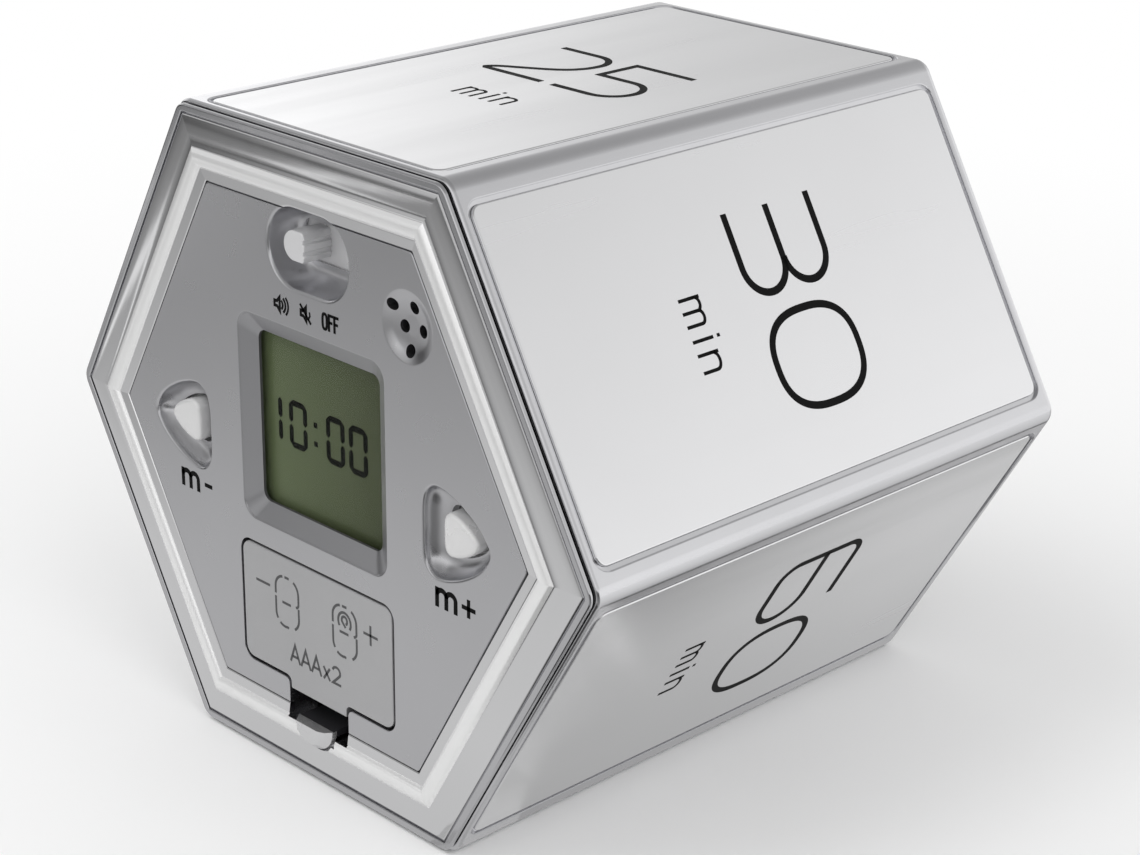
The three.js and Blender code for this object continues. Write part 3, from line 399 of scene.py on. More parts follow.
def node(tree, kind, inputs=None, **settings):
    """Adds a shader node. Each of its inputs takes a value, or the output of another node."""
    made = tree.nodes.new("ShaderNode" + kind)
    for key, value in settings.items():
        setattr(made, key, value)
    for key, value in (inputs or {}).items():
        if isinstance(value, bpy.types.NodeSocket):
            tree.links.new(value, made.inputs[key])
        else:
            made.inputs[key].default_value = value
    return made


def noise(tree, place, scale, detail):
    return node(tree, "TexNoise", {"Vector": place, "Scale": scale, "Detail": detail}).outputs["Fac"]


def ranged(tree, value, low, high, to_low, to_high, **settings):
    """Maps a value from one range to another."""
    inputs = {"Value": value, "From Min": low, "From Max": high, "To Min": to_low, "To Max": to_high}
    return node(tree, "MapRange", inputs, **settings).outputs["Result"]


def ramp(tree, value, stops):
    """The colour at a value, between stops of a position and a colour."""
    made = node(tree, "ValToRGB", {"Fac": value})
    elements = made.color_ramp.elements
    while len(elements) < len(stops):
        elements.new(0.5)
    for element, (position, colour) in zip(elements, stops):
        element.position = position
        element.color = (*colour, 1)
    return made.outputs["Color"]


def calculated(tree, operation, *values):
    inputs = dict(enumerate(values))
    return node(tree, "Math", inputs, operation=operation).outputs[0]


def rgb(colour):
    """A display colour, 0 to 1, as linear light."""
    return tuple(c / 12.92 if c <= 0.04045 else ((c + 0.055) / 1.055) ** 2.4 for c in colour)


def surface(name, colour, roughness, metallic, tint=0.03, variation=0.04, bump=0.02, bump_scale=1800.0,
            stretch=(1, 1, 1), right=None, specular=0.5):
    """A material with procedural detail: broad tint changes, a roughness grain and a fine bump.

    Colours are display colours. Where right is given, it is the colour at the right end of the glass, which
    darkens towards it: painted shade."""
    colour = rgb(colour)
    made = bpy.data.materials.new(name)
    tree = emptied_tree(made)
    place = node(tree, "TexCoord").outputs["Object"]
    stretched = node(tree, "Mapping", {"Vector": place, "Scale": stretch}).outputs["Vector"]
    broad = noise(tree, place, BROAD_SCALE, 3.0)
    if right is None:
        low = [max(0.0, c * (1 - tint)) for c in colour]
        high = [min(1.0, c * (1 + tint)) for c in colour]
        tone = ramp(tree, broad, [(0.3, low), (0.7, high)])
    else:
        # the glass darkens towards the right: painted shade
        x = node(tree, "SeparateXYZ", {0: place}).outputs["X"]
        along = ranged(tree, x, -GLASS_EDGE, GLASS_EDGE, 0.0, 1.0)
        uneven = calculated(tree, "MULTIPLY_ADD", broad, GLASS_UNEVEN, along)
        tone = ramp(tree, uneven, [(0.0, colour), (1.0, rgb(right))])
    grain = noise(tree, stretched, GRAIN_SCALE, 5.0)
    rough = ranged(tree, grain, 0.3, 0.7, max(0.02, roughness - variation), min(1.0, roughness + variation))
    relief = noise(tree, stretched, bump_scale, 3.0)
    raised = node(tree, "Bump", {"Height": relief, "Strength": bump, "Distance": BUMP_DISTANCE})
    shader = node(tree, "BsdfPrincipled", {
        "Base Color": tone, "Metallic": metallic, "Roughness": rough, "Specular IOR Level": specular,
        "Normal": raised.outputs["Normal"],
    })
    node(tree, "OutputMaterial", {0: shader.outputs[0]})
    return made


# For each key: the material's name, its colour, roughness, metalness and the strength of its bump
FINISHES = {
    "silver": ("case_metal", (0.86, 0.86, 0.87), 0.2, 1.0, 0.008),
    "rim": ("rim_metal", (0.82, 0.82, 0.83), 0.2, 1.0, 0.008),
    "chrome": ("bright_moulding", (0.94, 0.94, 0.945), 0.12, 1.0, 0.005),
    # the bead: a whiter, partly diffuse copy of the chrome, a painted highlight
    "bead": ("polished_bead", (1.0, 1.0, 1.0), 0.22, 0.62, 0.005),
    "seam": ("seam_shadow_strip", (0.2, 0.2, 0.205), 0.5, 0.0, 0.05),
    "panel": ("satin_panel", (0.82, 0.82, 0.83), 0.28, 1.0, 0.001),
    # the display's slanting frame: a darker copy of the panel metal, painted shade in the recess
    "bevel": ("display_bevel", (0.66, 0.66, 0.67), 0.3, 0.85, 0.004),
    "plate": ("brushed_plate", (0.95, 0.95, 0.955), 0.24, 1.0, 0.012),
    "door": ("door_plastic", (0.755, 0.755, 0.76), 0.33, 0.75, 0.01),
    "pad": ("pad_plastic", (0.92, 0.92, 0.925), 0.25, 0.85, 0.01),
    "button": ("button_plastic", (0.87, 0.87, 0.87), 0.25, 0.25, 0.01),
    "knob": ("knob_plastic", (0.84, 0.84, 0.845), 0.3, 0.3, 0.01),
    "glass": ("lcd_backing", (0.345, 0.385, 0.275), 0.45, 0.0, 0.002),
    "segments": ("lcd_ink", (0.012, 0.014, 0.01), 0.5, 0.0, 0.01),
    "ink": ("black_print", (0.03, 0.03, 0.03), 0.6, 0.0, 0.05),
    # the sunk signs of the door, and painted shade on the wall of the display's sight opening
    "mark": ("sunk_marks", (0.33, 0.33, 0.335), 0.5, 0.3, 0.05),
    "foil": ("reflector_foil", (0.8, 0.8, 0.77), 0.35, 0.8, 0.15),
    # black plastic parts, and painted shade on the arm of the latch
    "black": ("black_plastic", (0.14, 0.14, 0.15), 0.5, 0.0, 0.12),
    "rubber": ("strip_rubber", (0.24, 0.24, 0.25), 0.8, 0.0, 0.2),
    "board": ("green_board", (0.12, 0.36, 0.2), 0.45, 0.0, 0.1),
    "steel": ("plain_steel", (0.68, 0.68, 0.69), 0.28, 1.0, 0.05),
    "cell": ("cell_label", (0.34, 0.38, 0.43), 0.35, 0.35, 0.03),
    "red": ("red_wire", (0.7, 0.14, 0.11), 0.45, 0.0, 0.08),
    "dark": ("dark_resin", (0.1, 0.1, 0.1), 0.5, 0.0, 0.1),
}
# What sets some of them apart
DETAILS = {
    "chrome": dict(tint=0.015, variation=0.02),
    "bead": dict(tint=0.01, variation=0.02),
    "seam": dict(tint=0.1),
    "panel": dict(tint=0.02, variation=0.01, bump_scale=900.0),
    "bevel": dict(variation=0.02),
    "plate": dict(tint=0.012, stretch=(1, 0.06, 1)),
    "button": dict(tint=0.01),
    "knob": dict(tint=0.02),
    # the display glass: darker towards the right, painted shade
    "glass": dict(right=(0.23, 0.255, 0.165), specular=0.2),
    "segments": dict(tint=0.05, specular=0.02),
    "ink": dict(tint=0.1, specular=0.12),
    "mark": dict(tint=0.06),
    "foil": dict(bump_scale=900.0),
    "black": dict(tint=0.1),
    "rubber": dict(tint=0.1, stretch=(6, 1, 1)),
    "board": dict(tint=0.15, bump_scale=900.0),
    "steel": dict(tint=0.05),
    "cell": dict(tint=0.04),
    "red": dict(tint=0.06),
    "dark": dict(tint=0.12),
}


def clear_window():
    """Clear plastic that shadow rays and diffuse rays pass, so that the glass behind it is lit."""
    made = bpy.data.materials.new("clear_window")
    tree = emptied_tree(made)
    haze = node(tree, "TexNoise", {"Scale": WINDOW_SCALE}).outputs["Fac"]
    shader = node(tree, "BsdfPrincipled", {
        "Base Color": (0.93, 0.95, 0.9, 1), "Transmission Weight": 1.0, "IOR": 1.09,
        "Roughness": ranged(tree, haze, 0.0, 1.0, 0.0, 0.02),
    })
    path = node(tree, "LightPath")
    passing = calculated(tree, "MAXIMUM", path.outputs["Is Shadow Ray"], path.outputs["Is Diffuse Ray"])
    clear = node(tree, "BsdfTransparent")
    mix = node(tree, "MixShader", {"Fac": passing, 1: shader.outputs[0], 2: clear.outputs[0]})
    node(tree, "OutputMaterial", {0: mix.outputs[0]})
    return made


MATERIALS = {
    key: surface(*finish[:4], bump=finish[4], **DETAILS.get(key, {})) for key, finish in FINISHES.items()
}
MATERIALS["window"] = clear_window()


# ---- finishing a piece

def finished(obj, name, material, body="timer", nodes=(), angle=28.0, sharp=None, weighted=True):
    """Names, smooths and colours a piece, gives it its body, and hides the nodes it replaces.

    sharp takes the two ends of an edge, in mm, and says whether it stays sharp at any angle."""
    obj.name = name
    mesh = obj.data
    mesh.name = name
    marks = [False] * len(mesh.edges)
    if sharp is not None:
        points = [v.co for v in mesh.vertices]
        marks = [sharp(points[e.vertices[0]], points[e.vertices[1]]) for e in mesh.edges]
    mesh.transform(Matrix.Translation((0, CREST * MM, AXIS * MM)) @ Matrix.Scale(MM, 4))
    mesh.polygons.foreach_set("use_smooth", [True] * len(mesh.polygons))
    mesh.set_sharp_from_angle(angle=math.radians(angle))
    for edge, mark in zip(mesh.edges, marks):
        if mark:
            edge.use_edge_sharp = True
    if weighted:
        shading = obj.modifiers.new("shading", "WEIGHTED_NORMAL")
        shading.keep_sharp = True
        shading.weight = 50
    mesh.materials.clear()
    mesh.materials.append(MATERIALS[material])
    mesh.update()
    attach(obj, body)
    if nodes:
        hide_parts(*nodes)


def reach_of(x, height):
    """How far out a point lies, as the reach of the hexagon that runs through it."""
    return max(abs(height), abs(height) / 2 + abs(x) * math.cos(math.pi / 6))


def second_material(obj, material, chosen):
    """Gives some faces of a finished piece another material. chosen takes x, depth and height in mm."""
    mesh = obj.data
    mesh.materials.append(MATERIALS[material])
    for face in mesh.polygons:
        x, y, z = (c / MM for c in face.center)
        if chosen(x, y - CREST, z - AXIS):
            face.material_index = len(mesh.materials) - 1


# ---- case

def end_loops(reach, corner, end, rounding, direction, steps=8):
    """Loops of a hexagon's rounded edge, from its end to where the sides run straight."""
    return [at(hexagon(reach - rounding * left, corner - rounding * left), end + direction * rounding * done)
            for left, done in quarter(steps)]


def turned(point, index):
    """A point over the upper side, turned to another side."""
    a = index * math.pi / 3
    x, depth, height = point
    return (x * math.cos(a) + height * math.sin(a), depth, -x * math.sin(a) + height * math.cos(a))


def side_loops(outlines, levels, index):
    """Loops of a side plate or its recess: outlines of x and depth, at heights above the axis."""
    return [np.array([turned((x, depth, level), index) for x, depth in outline])
            for outline, level in zip(outlines, levels)]


def make_housing():
    front = end_loops(APOTHEM, EDGE, CASE_FRONT, CASE_ROUNDING, 1)
    rear = end_loops(APOTHEM, EDGE, LENGTH, REAR_ROUNDING, -1)
    body = loft(front + rear[::-1])
    cut(body, hexagonal(INNER, CASE_FRONT - 1, LENGTH + 1))
    cut(body, prism(hexagon(APOTHEM - 0.5, EDGE - 0.5), CASE_FRONT - 1, FLANGE_FRONT))
    wide, long = PLATE_WIDE + 2 * PLATE_GAP, PLATE_LONG + 2 * PLATE_GAP
    base = rectangle(wide, long, PLATE_CORNER + PLATE_GAP, 0, MIDDLE)
    lip = 0.14
    shapes = [grown(base, lip)] + [grown(base, lip * left) for left, done in quarter(3)]
    levels = [APOTHEM + 1] + [APOTHEM - lip * done for left, done in quarter(3)]
    # a shallow groove around the bed of the plate
    bed = grown(base, 0.04 - PLATE_GAP)
    shapes += [base, bed, bed]
    levels += [APOTHEM - GROOVE, APOTHEM - GROOVE - 0.04, APOTHEM - PLATE_THICK - GLUE]
    for index in range(6):
        cut(body, loft(side_loops(shapes, levels, index)))
    for x, height in BOSSES:
        for front in (FLANGE_BACK, CASE_BACK - BOSS_LONG):
            boss = rod(BOSS_RADIUS, front, front + BOSS_LONG, x, height)
            combined(boss, hexagonal(INNER + 0.3, CASE_FRONT, CASE_BACK), "INTERSECT")
            add(body, boss)
        cut(body, bore(SCREW_BORE, CASE_FRONT, 8.5, x, height), bore(SCREW_BORE, 58.0, LENGTH, x, height))
    finished(body, "case_sleeve", "silver", nodes=["housing"])


def make_plate(index, label):
    base = rectangle(PLATE_WIDE, PLATE_LONG, PLATE_CORNER, 0, MIDDLE)
    edge = 0.16
    shapes = [grown(base, -edge * left) for left, done in quarter(4)] + [base]
    levels = [PLATE_TOP - edge * done for left, done in quarter(4)] + [APOTHEM - PLATE_THICK]
    plate = loft(side_loops(shapes, levels, index))
    finished(plate, "plate_" + label, "plate", nodes=["face_plate_" + label])
    print_label(index, label)


# For each digit its width, and its strokes: a path from the middle of its height, and whether it closes
DIGITS = {
    "0": (9.9, [(oval(4.95, 0, 4.6, 5.65, 2.55), True)]),
    "1": (3.4, [([(0.2, 3.5), (2.6, 5.85), (2.75, 5.5), (2.75, -6)], False)]),
    "2": (8.6, [(
        [(0, 5.65), (4.2, 5.65)] + arc(5.3, 2.85, 2.8, 2.8, 90, 0, 12)
        + [(8.05, 2.0)]
        + [tuple(p) for p in spline([(7.9, 1.2), (7.2, -0.2), (5.9, -1.5), (3.6, -3.0), (1.6, -4.2),
                                      (0.75, -4.95), (0.5, -5.4)], 4)]
        + [(0.75, -5.65), (8.6, -5.65)], False)]),
    "3": (8.45, [
        ([(0, -5.65), (5.3, -5.65)] + arc(5.3, -2.85, 2.8, 2.8, -90, 90, 22) + [(0.15, -0.05)], False),
        ([(0, 5.65), (5.3, 5.65)] + arc(5.3, 2.85, 2.8, 2.8, 90, -90, 22), False),
    ]),
    "5": (8.4, [(
        [(8.0, 5.65), (0.35, 5.65), (0.35, 0.45), (5.0, 0.45)] + arc(5.0, -2.6, 3.05, 3.05, 90, -90, 22)
        + [(0, -5.65)], False)]),
    "6": (9.45, [
        ([(8.7, 5.65)] + arc(2.25, 3.75, 1.9, 1.9, 90, 180, 9) + arc(2.55, -3.45, 2.2, 2.2, 180, 270, 9)
         + arc(6.2, -2.65, 2.9, 3.0, -90, 90, 22) + [(0.35, 0.35)], False),
    ]),
}

DIGITS_MIDDLE, WORD_BASE = 35.95, 21.3
DIGIT_GAP, DIGIT_STROKE, WORD_STROKE = 1.5, 0.74, 0.33
# how far the digits and the word stand aside, and the word nearer to the front
LABEL_SHIFTS = {"30": (0.33, 0.33, 0), "60": (0.4, 1.2, 0.6)}


def print_label(index, label):
    """The minutes and the word under them, read with the rear of the timer upwards."""
    digits_aside, word_aside, word_forward = LABEL_SHIFTS.get(label, (0, 0, 0))
    low, high = PLATE_TOP - 0.05, PLATE_TOP + 0.018

    def digit_place(u, v, level):
        return turned((u + digits_aside, DIGITS_MIDDLE + v, level), index)

    def word_place(u, v, level):
        return turned((u + word_aside, WORD_BASE - word_forward + v, level), index)

    pieces = []
    widths = [DIGITS[c][0] for c in label]
    start = -(sum(widths) + DIGIT_GAP * (len(label) - 1)) / 2
    for character, width in zip(label, widths):
        for path, closed in DIGITS[character][1]:
            shifted = [(start + x, y) for x, y in path]
            pieces.append(stroke(shifted, DIGIT_STROKE, digit_place, low, high, closed))
        start += width + DIGIT_GAP
    pieces += [stroke(path, WORD_STROKE, word_place, low, high) for path in word_paths(-3.7)]
    finished(joined(pieces), "print_" + label, "ink", weighted=False)


def word_paths(start):
    """The word min, letter-spaced, as strokes from its baseline up."""
    tall, arch = 2.62, 0.62

    def arched(left, shoulder, half, rise):
        bow = arc(left + half, shoulder - 0.02, half, rise, 180, 0, 10)
        return [(left, shoulder)] + bow + [(left + 2 * half, 0)]

    paths = [[(0.18, 0), (0.18, tall)]]
    paths += [arched(left, tall - arch, arch, arch - 0.14) for left in (0.18, 0.18 + 2 * arch)]
    paths += [[(4.05, 0), (4.05, tall)], [(4.05, tall + 0.5), (4.05, tall + 0.86)]]
    paths += [[(5.35, 0), (5.35, tall)], arched(5.35, tall - 0.75, 0.8, 0.62)]
    return [[(start + u, v) for u, v in path] for path in paths]


def below_door(half, high, low, front, back):
    """A block across the middle, under the battery door."""
    return prism(np.array([(-half, high), (-half, low), (half, low), (half, high)]), front, back)


def clip_notch(front, back):
    """A tool for the notch before the latch, with the gap for its clip."""
    return add(below_door(NOTCH, -21.9, NOTCH_LOW, front, back),
               below_door(CLIP_GAP, -21.9, CLIP_GAP_LOW, front, back))


def make_front_ring():
    rim = APOTHEM - RIM_INSET
    loops = end_loops(rim, EDGE - RIM_INSET, LAND, 0.25, 1)
    body = loft(loops + [at(hexagon(rim, EDGE - RIM_INSET), SEAM_FRONT)])
    add(body, prism(hexagon(APOTHEM - 0.75, EDGE - 0.75), SEAM_FRONT - 0.1, FLANGE_FRONT))
    mouth = groove_mouth(hexagon(BEZEL_OUT + 0.2, 0.25, 3), LAND, BEZEL_BACK, 0.14)
    cut(body, mouth, hexagonal(APOTHEM - 5.3, BEZEL_BACK - 0.5, FLANGE_FRONT + 1))
    for x, height in BOSSES:
        cut(body, bore(HEAD_BORE, BEZEL_BACK - 0.5, FLANGE_FRONT + 1, x, height))
    cut(body, clip_notch(LAND + 0.1, FLANGE_FRONT + 1))
    finished(body, "front_rim", "rim", nodes=["front_ring"])


# Across the moulding, from its outer edge to its inner one: reach from the axis, and depth
MOULDING = (
    [(31.16, 1.0), (31.16, 0.68)]
    + [tuple(p) for p in spline([(31.14, 0.63), (31.0, 0.575), (30.75, 0.53), (30.3, 0.485), (29.6, 0.45),
                                 (29.1, 0.435), (28.8, 0.415), (28.55, 0.375), (28.35, 0.31), (28.15, 0.2),
                                 (27.85, 0.06), (27.45, 0.0), (27.0, 0.05), (26.72, 0.18), (26.55, 0.36)], 4)]
    + [(26.48, 0.4), (26.4, 0.36)]
    + [(25.45, 0.50), (25.35, 0.58), (25.35, 1.0)]
)
BEAD, BEAD_DEPTH = (26.5, 28.3), 0.45


def on_mitre(a, b):
    """True for an edge that runs along one of the six mitres."""
    for v in (a, b):
        angle = math.degrees(math.atan2(v.z, v.x)) / 60
        if abs(angle - round(angle)) > 0.002:
            return False
    return True


def make_seam_strip():
    inner, outer = hexagon(APOTHEM - 0.9, EDGE - 0.9), hexagon(APOTHEM - 0.66, EDGE - 0.66)
    back = CASE_FRONT + 0.02
    strip = ring([at(inner, SEAM_FRONT), at(outer, SEAM_FRONT), at(outer, back), at(inner, back)])
    finished(strip, "seam_strip", "seam")


def make_moulding():
    body = ring([at(hexagon(reach), depth) for reach, depth in MOULDING])
    cut(body, clip_notch(-1, BEZEL_BACK + 1))
    cut(body, rod(PAD_HOLE, -1, BEZEL_BACK + 1, 0, -CLIP_LOWER, 64))
    cut(body, switch_dish())
    finished(body, "bright_moulding", "chrome", nodes=["front_bezel"], angle=24, sharp=on_mitre)

    def on_bead(x, depth, height):
        return BEAD[0] < reach_of(x, height) < BEAD[1] and depth < BEAD_DEPTH

    # the bead's faces take a whiter, partly diffuse copy of the chrome: a painted highlight
    second_material(body, "bead", on_bead)


def switch_dish():
    """The dish of the switch. It also cuts a notch into the moulding above it."""
    mouth, floor = rectangle(11.5, 7.6, 3.78, 0.2, DISH, 14), rectangle(8.4, 4.5, 2.2, 0, DISH, 14)
    return dish(mouth, floor, PANEL_FRONT, 3.2, 0.35, 22)


def make_rear_cover():
    loops = end_loops(COVER, 0.5, LENGTH, 0.15, -1, 4)
    loops.append(at(hexagon(COVER, 0.5), CASE_BACK))
    body = loft(loops[::-1])
    rib = prism(hexagon(COVER, 0.5), CASE_BACK - 2.5, CASE_BACK + 0.5)
    cut(rib, hexagonal(28.2, CASE_BACK - 3.5, CASE_BACK))
    for x, height in BOSSES:
        cut(rib, rod(3.2, CASE_BACK - 3.5, CASE_BACK, x, height))
    add(body, rib)
    edge = 0.2
    for x, height in BOSSES:
        cut(body, rod(SCREW_BORE, CASE_BACK - 1, LENGTH + 1, x, height, 32))
        mouth = anticlockwise(circle(HEAD_BORE, x, height, 64))
        loops = [at(mouth, REAR_BEARING), at(mouth, LENGTH - edge)]
        loops += [at(grown(mouth, edge * done), LENGTH - edge * left) for left, done in quarter(4, 1)]
        loops.append(at(grown(mouth, edge), LENGTH + 1))
        cut(body, loft(loops))
    # a shallow groove frames the middle of the rear face
    outer, inner, floor = hexagon(25.6, 0.8, 8), hexagon(25.15, 0.6, 8), LENGTH - 0.2
    cut(body, ring([at(outer, LENGTH + 1), at(outer, floor), at(inner, floor), at(inner, LENGTH + 1)]))
    finished(body, "rear_shell", "rim", nodes=["rear_cover"])


# ---- front panel

def tabbed(left, right, top, bottom, r, half, low, turn):
    """A rounded rectangle with a tab below it, which starts with corners that turn by some degrees."""
    points = arc(right - r, top - r, r, r, 0, 90, 8)
    points += arc(left + r, top - r, r, r, 90, 180, 8)
    points += arc(left + r, bottom + r, r, r, 180, 270, 8)
    points += arc(-half - 0.7, bottom - 0.7, 0.7, 0.7, 90, 90 - turn, 6)
    points += [(-half, low), (half, low)]
    points += arc(half + 0.7, bottom - 0.7, 0.7, 0.7, 90 + turn, 90, 6)
    points += arc(right - r, bottom + r, r, r, 270, 360, 8)
    return np.array(points)


def display_bevel():
    """The slanting frame of the display, from its rounded lip to the sight opening."""
    mouth, sight = rectangle(21, 20.8, 1.7, 0, DISPLAY), rectangle(17.6, 17.4, 1.0, 0, DISPLAY)
    lip, steep = 0.22, math.radians(58)
    loops = [at(grown(mouth, lip), PANEL_FRONT - 1)]
    for a in (k / 4 * steep for k in range(5)):
        left = 1 - math.sin(a) / math.sin(steep)
        loops.append(at(grown(mouth, lip * left), PANEL_FRONT + 0.30 * (1 - math.cos(a))))
    return loft(loops + [at(sight, 1.57), at(sight, 2.9)])


def dimple(x, height, radius, depth):
    """A shallow round hollow like a piece of a ball, with a soft lip."""
    wide = radius + 0.18
    loops = [at(circle(wide, x, height, 72), PANEL_FRONT - 1), at(circle(wide, x, height, 72), PANEL_FRONT)]
    steps = 16
    for step in range(1, steps + 1):
        share = step / steps
        r = wide * (1 - share) + 0.9 * share
        fall = 1 - (r / wide) ** 2.4
        soft = min(1.0, share * 2.5)
        loops.append(at(circle(r, x, height, 72), PANEL_FRONT + depth * 1.02 * fall * (0.55 + 0.45 * soft)))
    return loft(loops)


def make_panel():
    inside = PANEL_FRONT + 1  # where what stands behind the panel starts, within its thickness
    body = rounded_prism(hexagon(PANEL_REACH, 0.5, 6), PANEL_FRONT, PANEL_BACK, 0.12)
    # a step under the moulding and a flange under the rim
    for reach, front in ((27.2, BEZEL_BACK), (FLANGE, FLANGE_FRONT)):
        flange = hexagonal(reach, front, FLANGE_BACK)
        cut(flange, hexagonal(23.6, 0, FLANGE_BACK + 1))
        add(body, flange)
    # boxes behind the display, the switch and the keys, and bosses for the screws
    add(body, prism(rectangle(22.6, 23.0, 0.8, 0, DISPLAY), inside, GLASS_BACK))
    add(body, prism(rectangle(13.7, 9.3, 4.4, 0, DISH, 10), inside, 4.5))
    for side in (-1, 1):
        add(body, prism(button_outline(side, 14.9, 10.6, 5.2), inside, 3.1))
        for x, height, bearing, radius, back in PANEL_SCREWS:
            add(body, rod(radius, inside, back, side * x, height))
    cut(body, display_bevel())
    # the pocket for the window and the glass
    cut(body, block(21.0, 21.4, WINDOW_FRONT, 6.0, 0, DISPLAY))
    # the switch: its dish, the slot for the knob and the pocket for the shutter
    cut(body, switch_dish())
    cut(body, prism(rectangle(7.8, 3.9, 0.7, 0, DISH, 10), 2.7, 5.5))
    cut(body, block(17.8, 4.7, SHUTTER - 0.06, 5.5, 0, DISH))
    for side in (-1, 1):
        mouth, hole = button_outline(side, 15.7, 8.75, 4.4), button_outline(side, 17.5, 5.3, 2.5)
        cut(body, dish(mouth, hole, PANEL_FRONT, 1.8, 0.3, 20, power=0.9))
        cut(body, prism(hole, 1.3, 4.1))
    # the dimple of the buzzer, and its holes
    cut(body, dimple(13.9, 18.3, 3.3, 0.65))
    holes = [(GRILLE_X - 0.25, GRILLE_HEIGHT - 0.1)]
    for a in map(math.radians, (131, 59, 0, -72)):
        holes.append((GRILLE_X + 2.25 * math.cos(a), GRILLE_HEIGHT + 2.25 * math.sin(a)))
    for x, height in holes:
        cut(body, rod(0.6, PANEL_FRONT - 1, PANEL_BACK + 1, x, height, 32))
    # the opening of the battery door
    opening = tabbed(-11.48, 11.4, -9.6, -22.68, 1.45, NOTCH, NOTCH_LOW, 90)
    cut(body, groove_mouth(opening, PANEL_FRONT, FLANGE_BACK + 1, 0.1))
    cut(body, below_door(CLIP_GAP, -24.0, CLIP_GAP_LOW, PANEL_FRONT - 1, FLANGE_BACK + 1))
    for side in (-1, 1):
        for x, height, bearing, radius, back in PANEL_SCREWS:
            cut(body, bore(SCREW_BORE, bearing - 7.5, bearing, side * x, height))
    for x, height in BOSSES:
        cut(body, bore(SCREW_BORE, FLANGE_FRONT - 1, FLANGE_BACK + 1, x, height))
        cut(body, bore(HEAD_BORE, FLANGE_FRONT - 1, 2.2, x, height))
    finished(body, "panel_front", "panel", nodes=["front_panel"])
    # the display's frame from the lip to the sight opening, and the wall of that opening, take darker
    # materials: painted shade in the display's recess
    for material, front, back in (("bevel", PANEL_FRONT + 0.01, 1.6), ("mark", 1.6, 2.9)):
        second_material(body, material, lambda x, depth, height: (
            front <= depth < back and abs(x) < 10.9 and abs(height - DISPLAY) < 11.2))


def front_place(level):
    """Puts a sign on the front at a depth; its own level counts outwards."""
    def place(x, height, out):
        return (x, level - out, height)
    return place


def make_panel_prints():
    place = front_place(PANEL_FRONT)
    pieces = []
    middle = 15.9  # height of the signs under the switch

    def line(path, width, closed=False):
        pieces.append(stroke(path, width, place, -0.05, 0.015, closed))

    def speaker(x, height, waves):
        """A loudspeaker, with waves for the loud position and struck out for the silent one."""
        body = [(x - 0.66, height - 0.24), (x - 0.3, height - 0.24), (x + 0.1, height - 0.66),
                (x + 0.1, height + 0.66), (x - 0.3, height + 0.24), (x - 0.66, height + 0.24)]
        line(body, 0.3, True)
        if waves:
            line(arc(x + 0.05, height, 0.5, 0.5, -55, 55, 8), 0.24)
            line(arc(x + 0.05, height, 0.9, 0.86, -52, 52, 10), 0.24)
            line(arc(x + 0.05, height, 1.3, 1.2, -44, 44, 10), 0.23)
        else:
            line([(x - 0.75, height + 0.82), (x + 0.78, height - 0.82)], 0.26)
            line([(x + 0.36, height - 0.5), (x + 0.66, height - 0.05), (x + 0.6, height + 0.32)], 0.2)

    speaker(-4.1, middle, True)
    speaker(-0.25, middle, False)
    # OFF
    line(oval(2.52, middle, 0.3, 0.72, 3.0, 28), 0.3, True)
    for left in (3.12, 3.9):
        line([(left, middle - 0.82), (left, middle + 0.86)], 0.31)
        line([(left, middle + 0.72), (left + 0.6, middle + 0.72)], 0.28)
        line([(left, middle + 0.05), (left + 0.5, middle + 0.05)], 0.26)

    # labels of the minute buttons
    def letter_m(x, base):
        tall, arch = 1.95, 0.62
        line([(x + 0.2, base), (x + 0.2, base + tall)], 0.5)
        for k in (0, 1):
            left = x + 0.2 + 2 * arch * k
            line([(left, base + tall - 0.77)] + arc(left + arch, base + tall - 0.75, arch, 0.56, 180, 0, 12)
                 + [(left + 2 * arch, base)], 0.5)

    letter_m(-20.7, -7.2)
    line([(-16.95, -6.08), (-15.75, -6.08)], 0.42)
    letter_m(17.3, -7.2)
    line([(20.8, -6.02), (22.6, -6.02)], 0.42)
    line([(21.7, -6.92), (21.7, -5.12)], 0.42)
    finished(joined(pieces), "panel_print", "ink", weighted=False)


# ---- display

def make_display():
    window = rounded_prism(rectangle(20.4, 20.8, 0.3, 0, DISPLAY, 4), WINDOW_FRONT, 2.5, 0.08)
    finished(window, "window_pane", "window", nodes=["display_window"])
    glass = rounded_prism(rectangle(20.4, 20.8, 0.25, 0, DISPLAY, 4), GLASS_FRONT, GLASS_BACK, 0.1, 0.1)
    finished(glass, "liquid_crystal_cell", "glass", nodes=["lcd_glass"])
    place = front_place(GLASS_FRONT)
    pieces = []

    def filled(outline):
        pieces.append(patch(outline, place, -0.02, 0.015))

    def segment(x, height, length, upright):
        half, w = length / 2, 0.31
        shape = [(-half, 0), (-half + w, w), (half - w, w), (half, 0), (half - w, -w), (-half + w, -w)]
        if upright:
            shape = [(-b, a) for a, b in shape]
        filled([(x + a, height + b) for a, b in shape])

    base, tall, wide, inset = 0.9, 4.8, 2.65, 0.28
    lower, upper = base + tall * 0.265, base + tall * 0.735

    def column(x):
        segment(x, lower, tall / 2 - 0.3, True)
        segment(x, upper, tall / 2 - 0.3, True)

    column(-6.95)
    for left in (-5.6, -0.1, 3.2):
        column(left + inset)
        column(left + wide - inset)
        for height in (base + inset, base + tall - inset):
            segment(left + wide / 2, height, wide - 0.5, False)
    for height in (base + 1.3, base + 3.2):
        low, high = height - 0.27, height + 0.27
        filled([(-1.95, low), (-1.41, low), (-1.41, high), (-1.95, high)])
    finished(joined(pieces), "display_digits", "segments", weighted=False)


# ---- controls

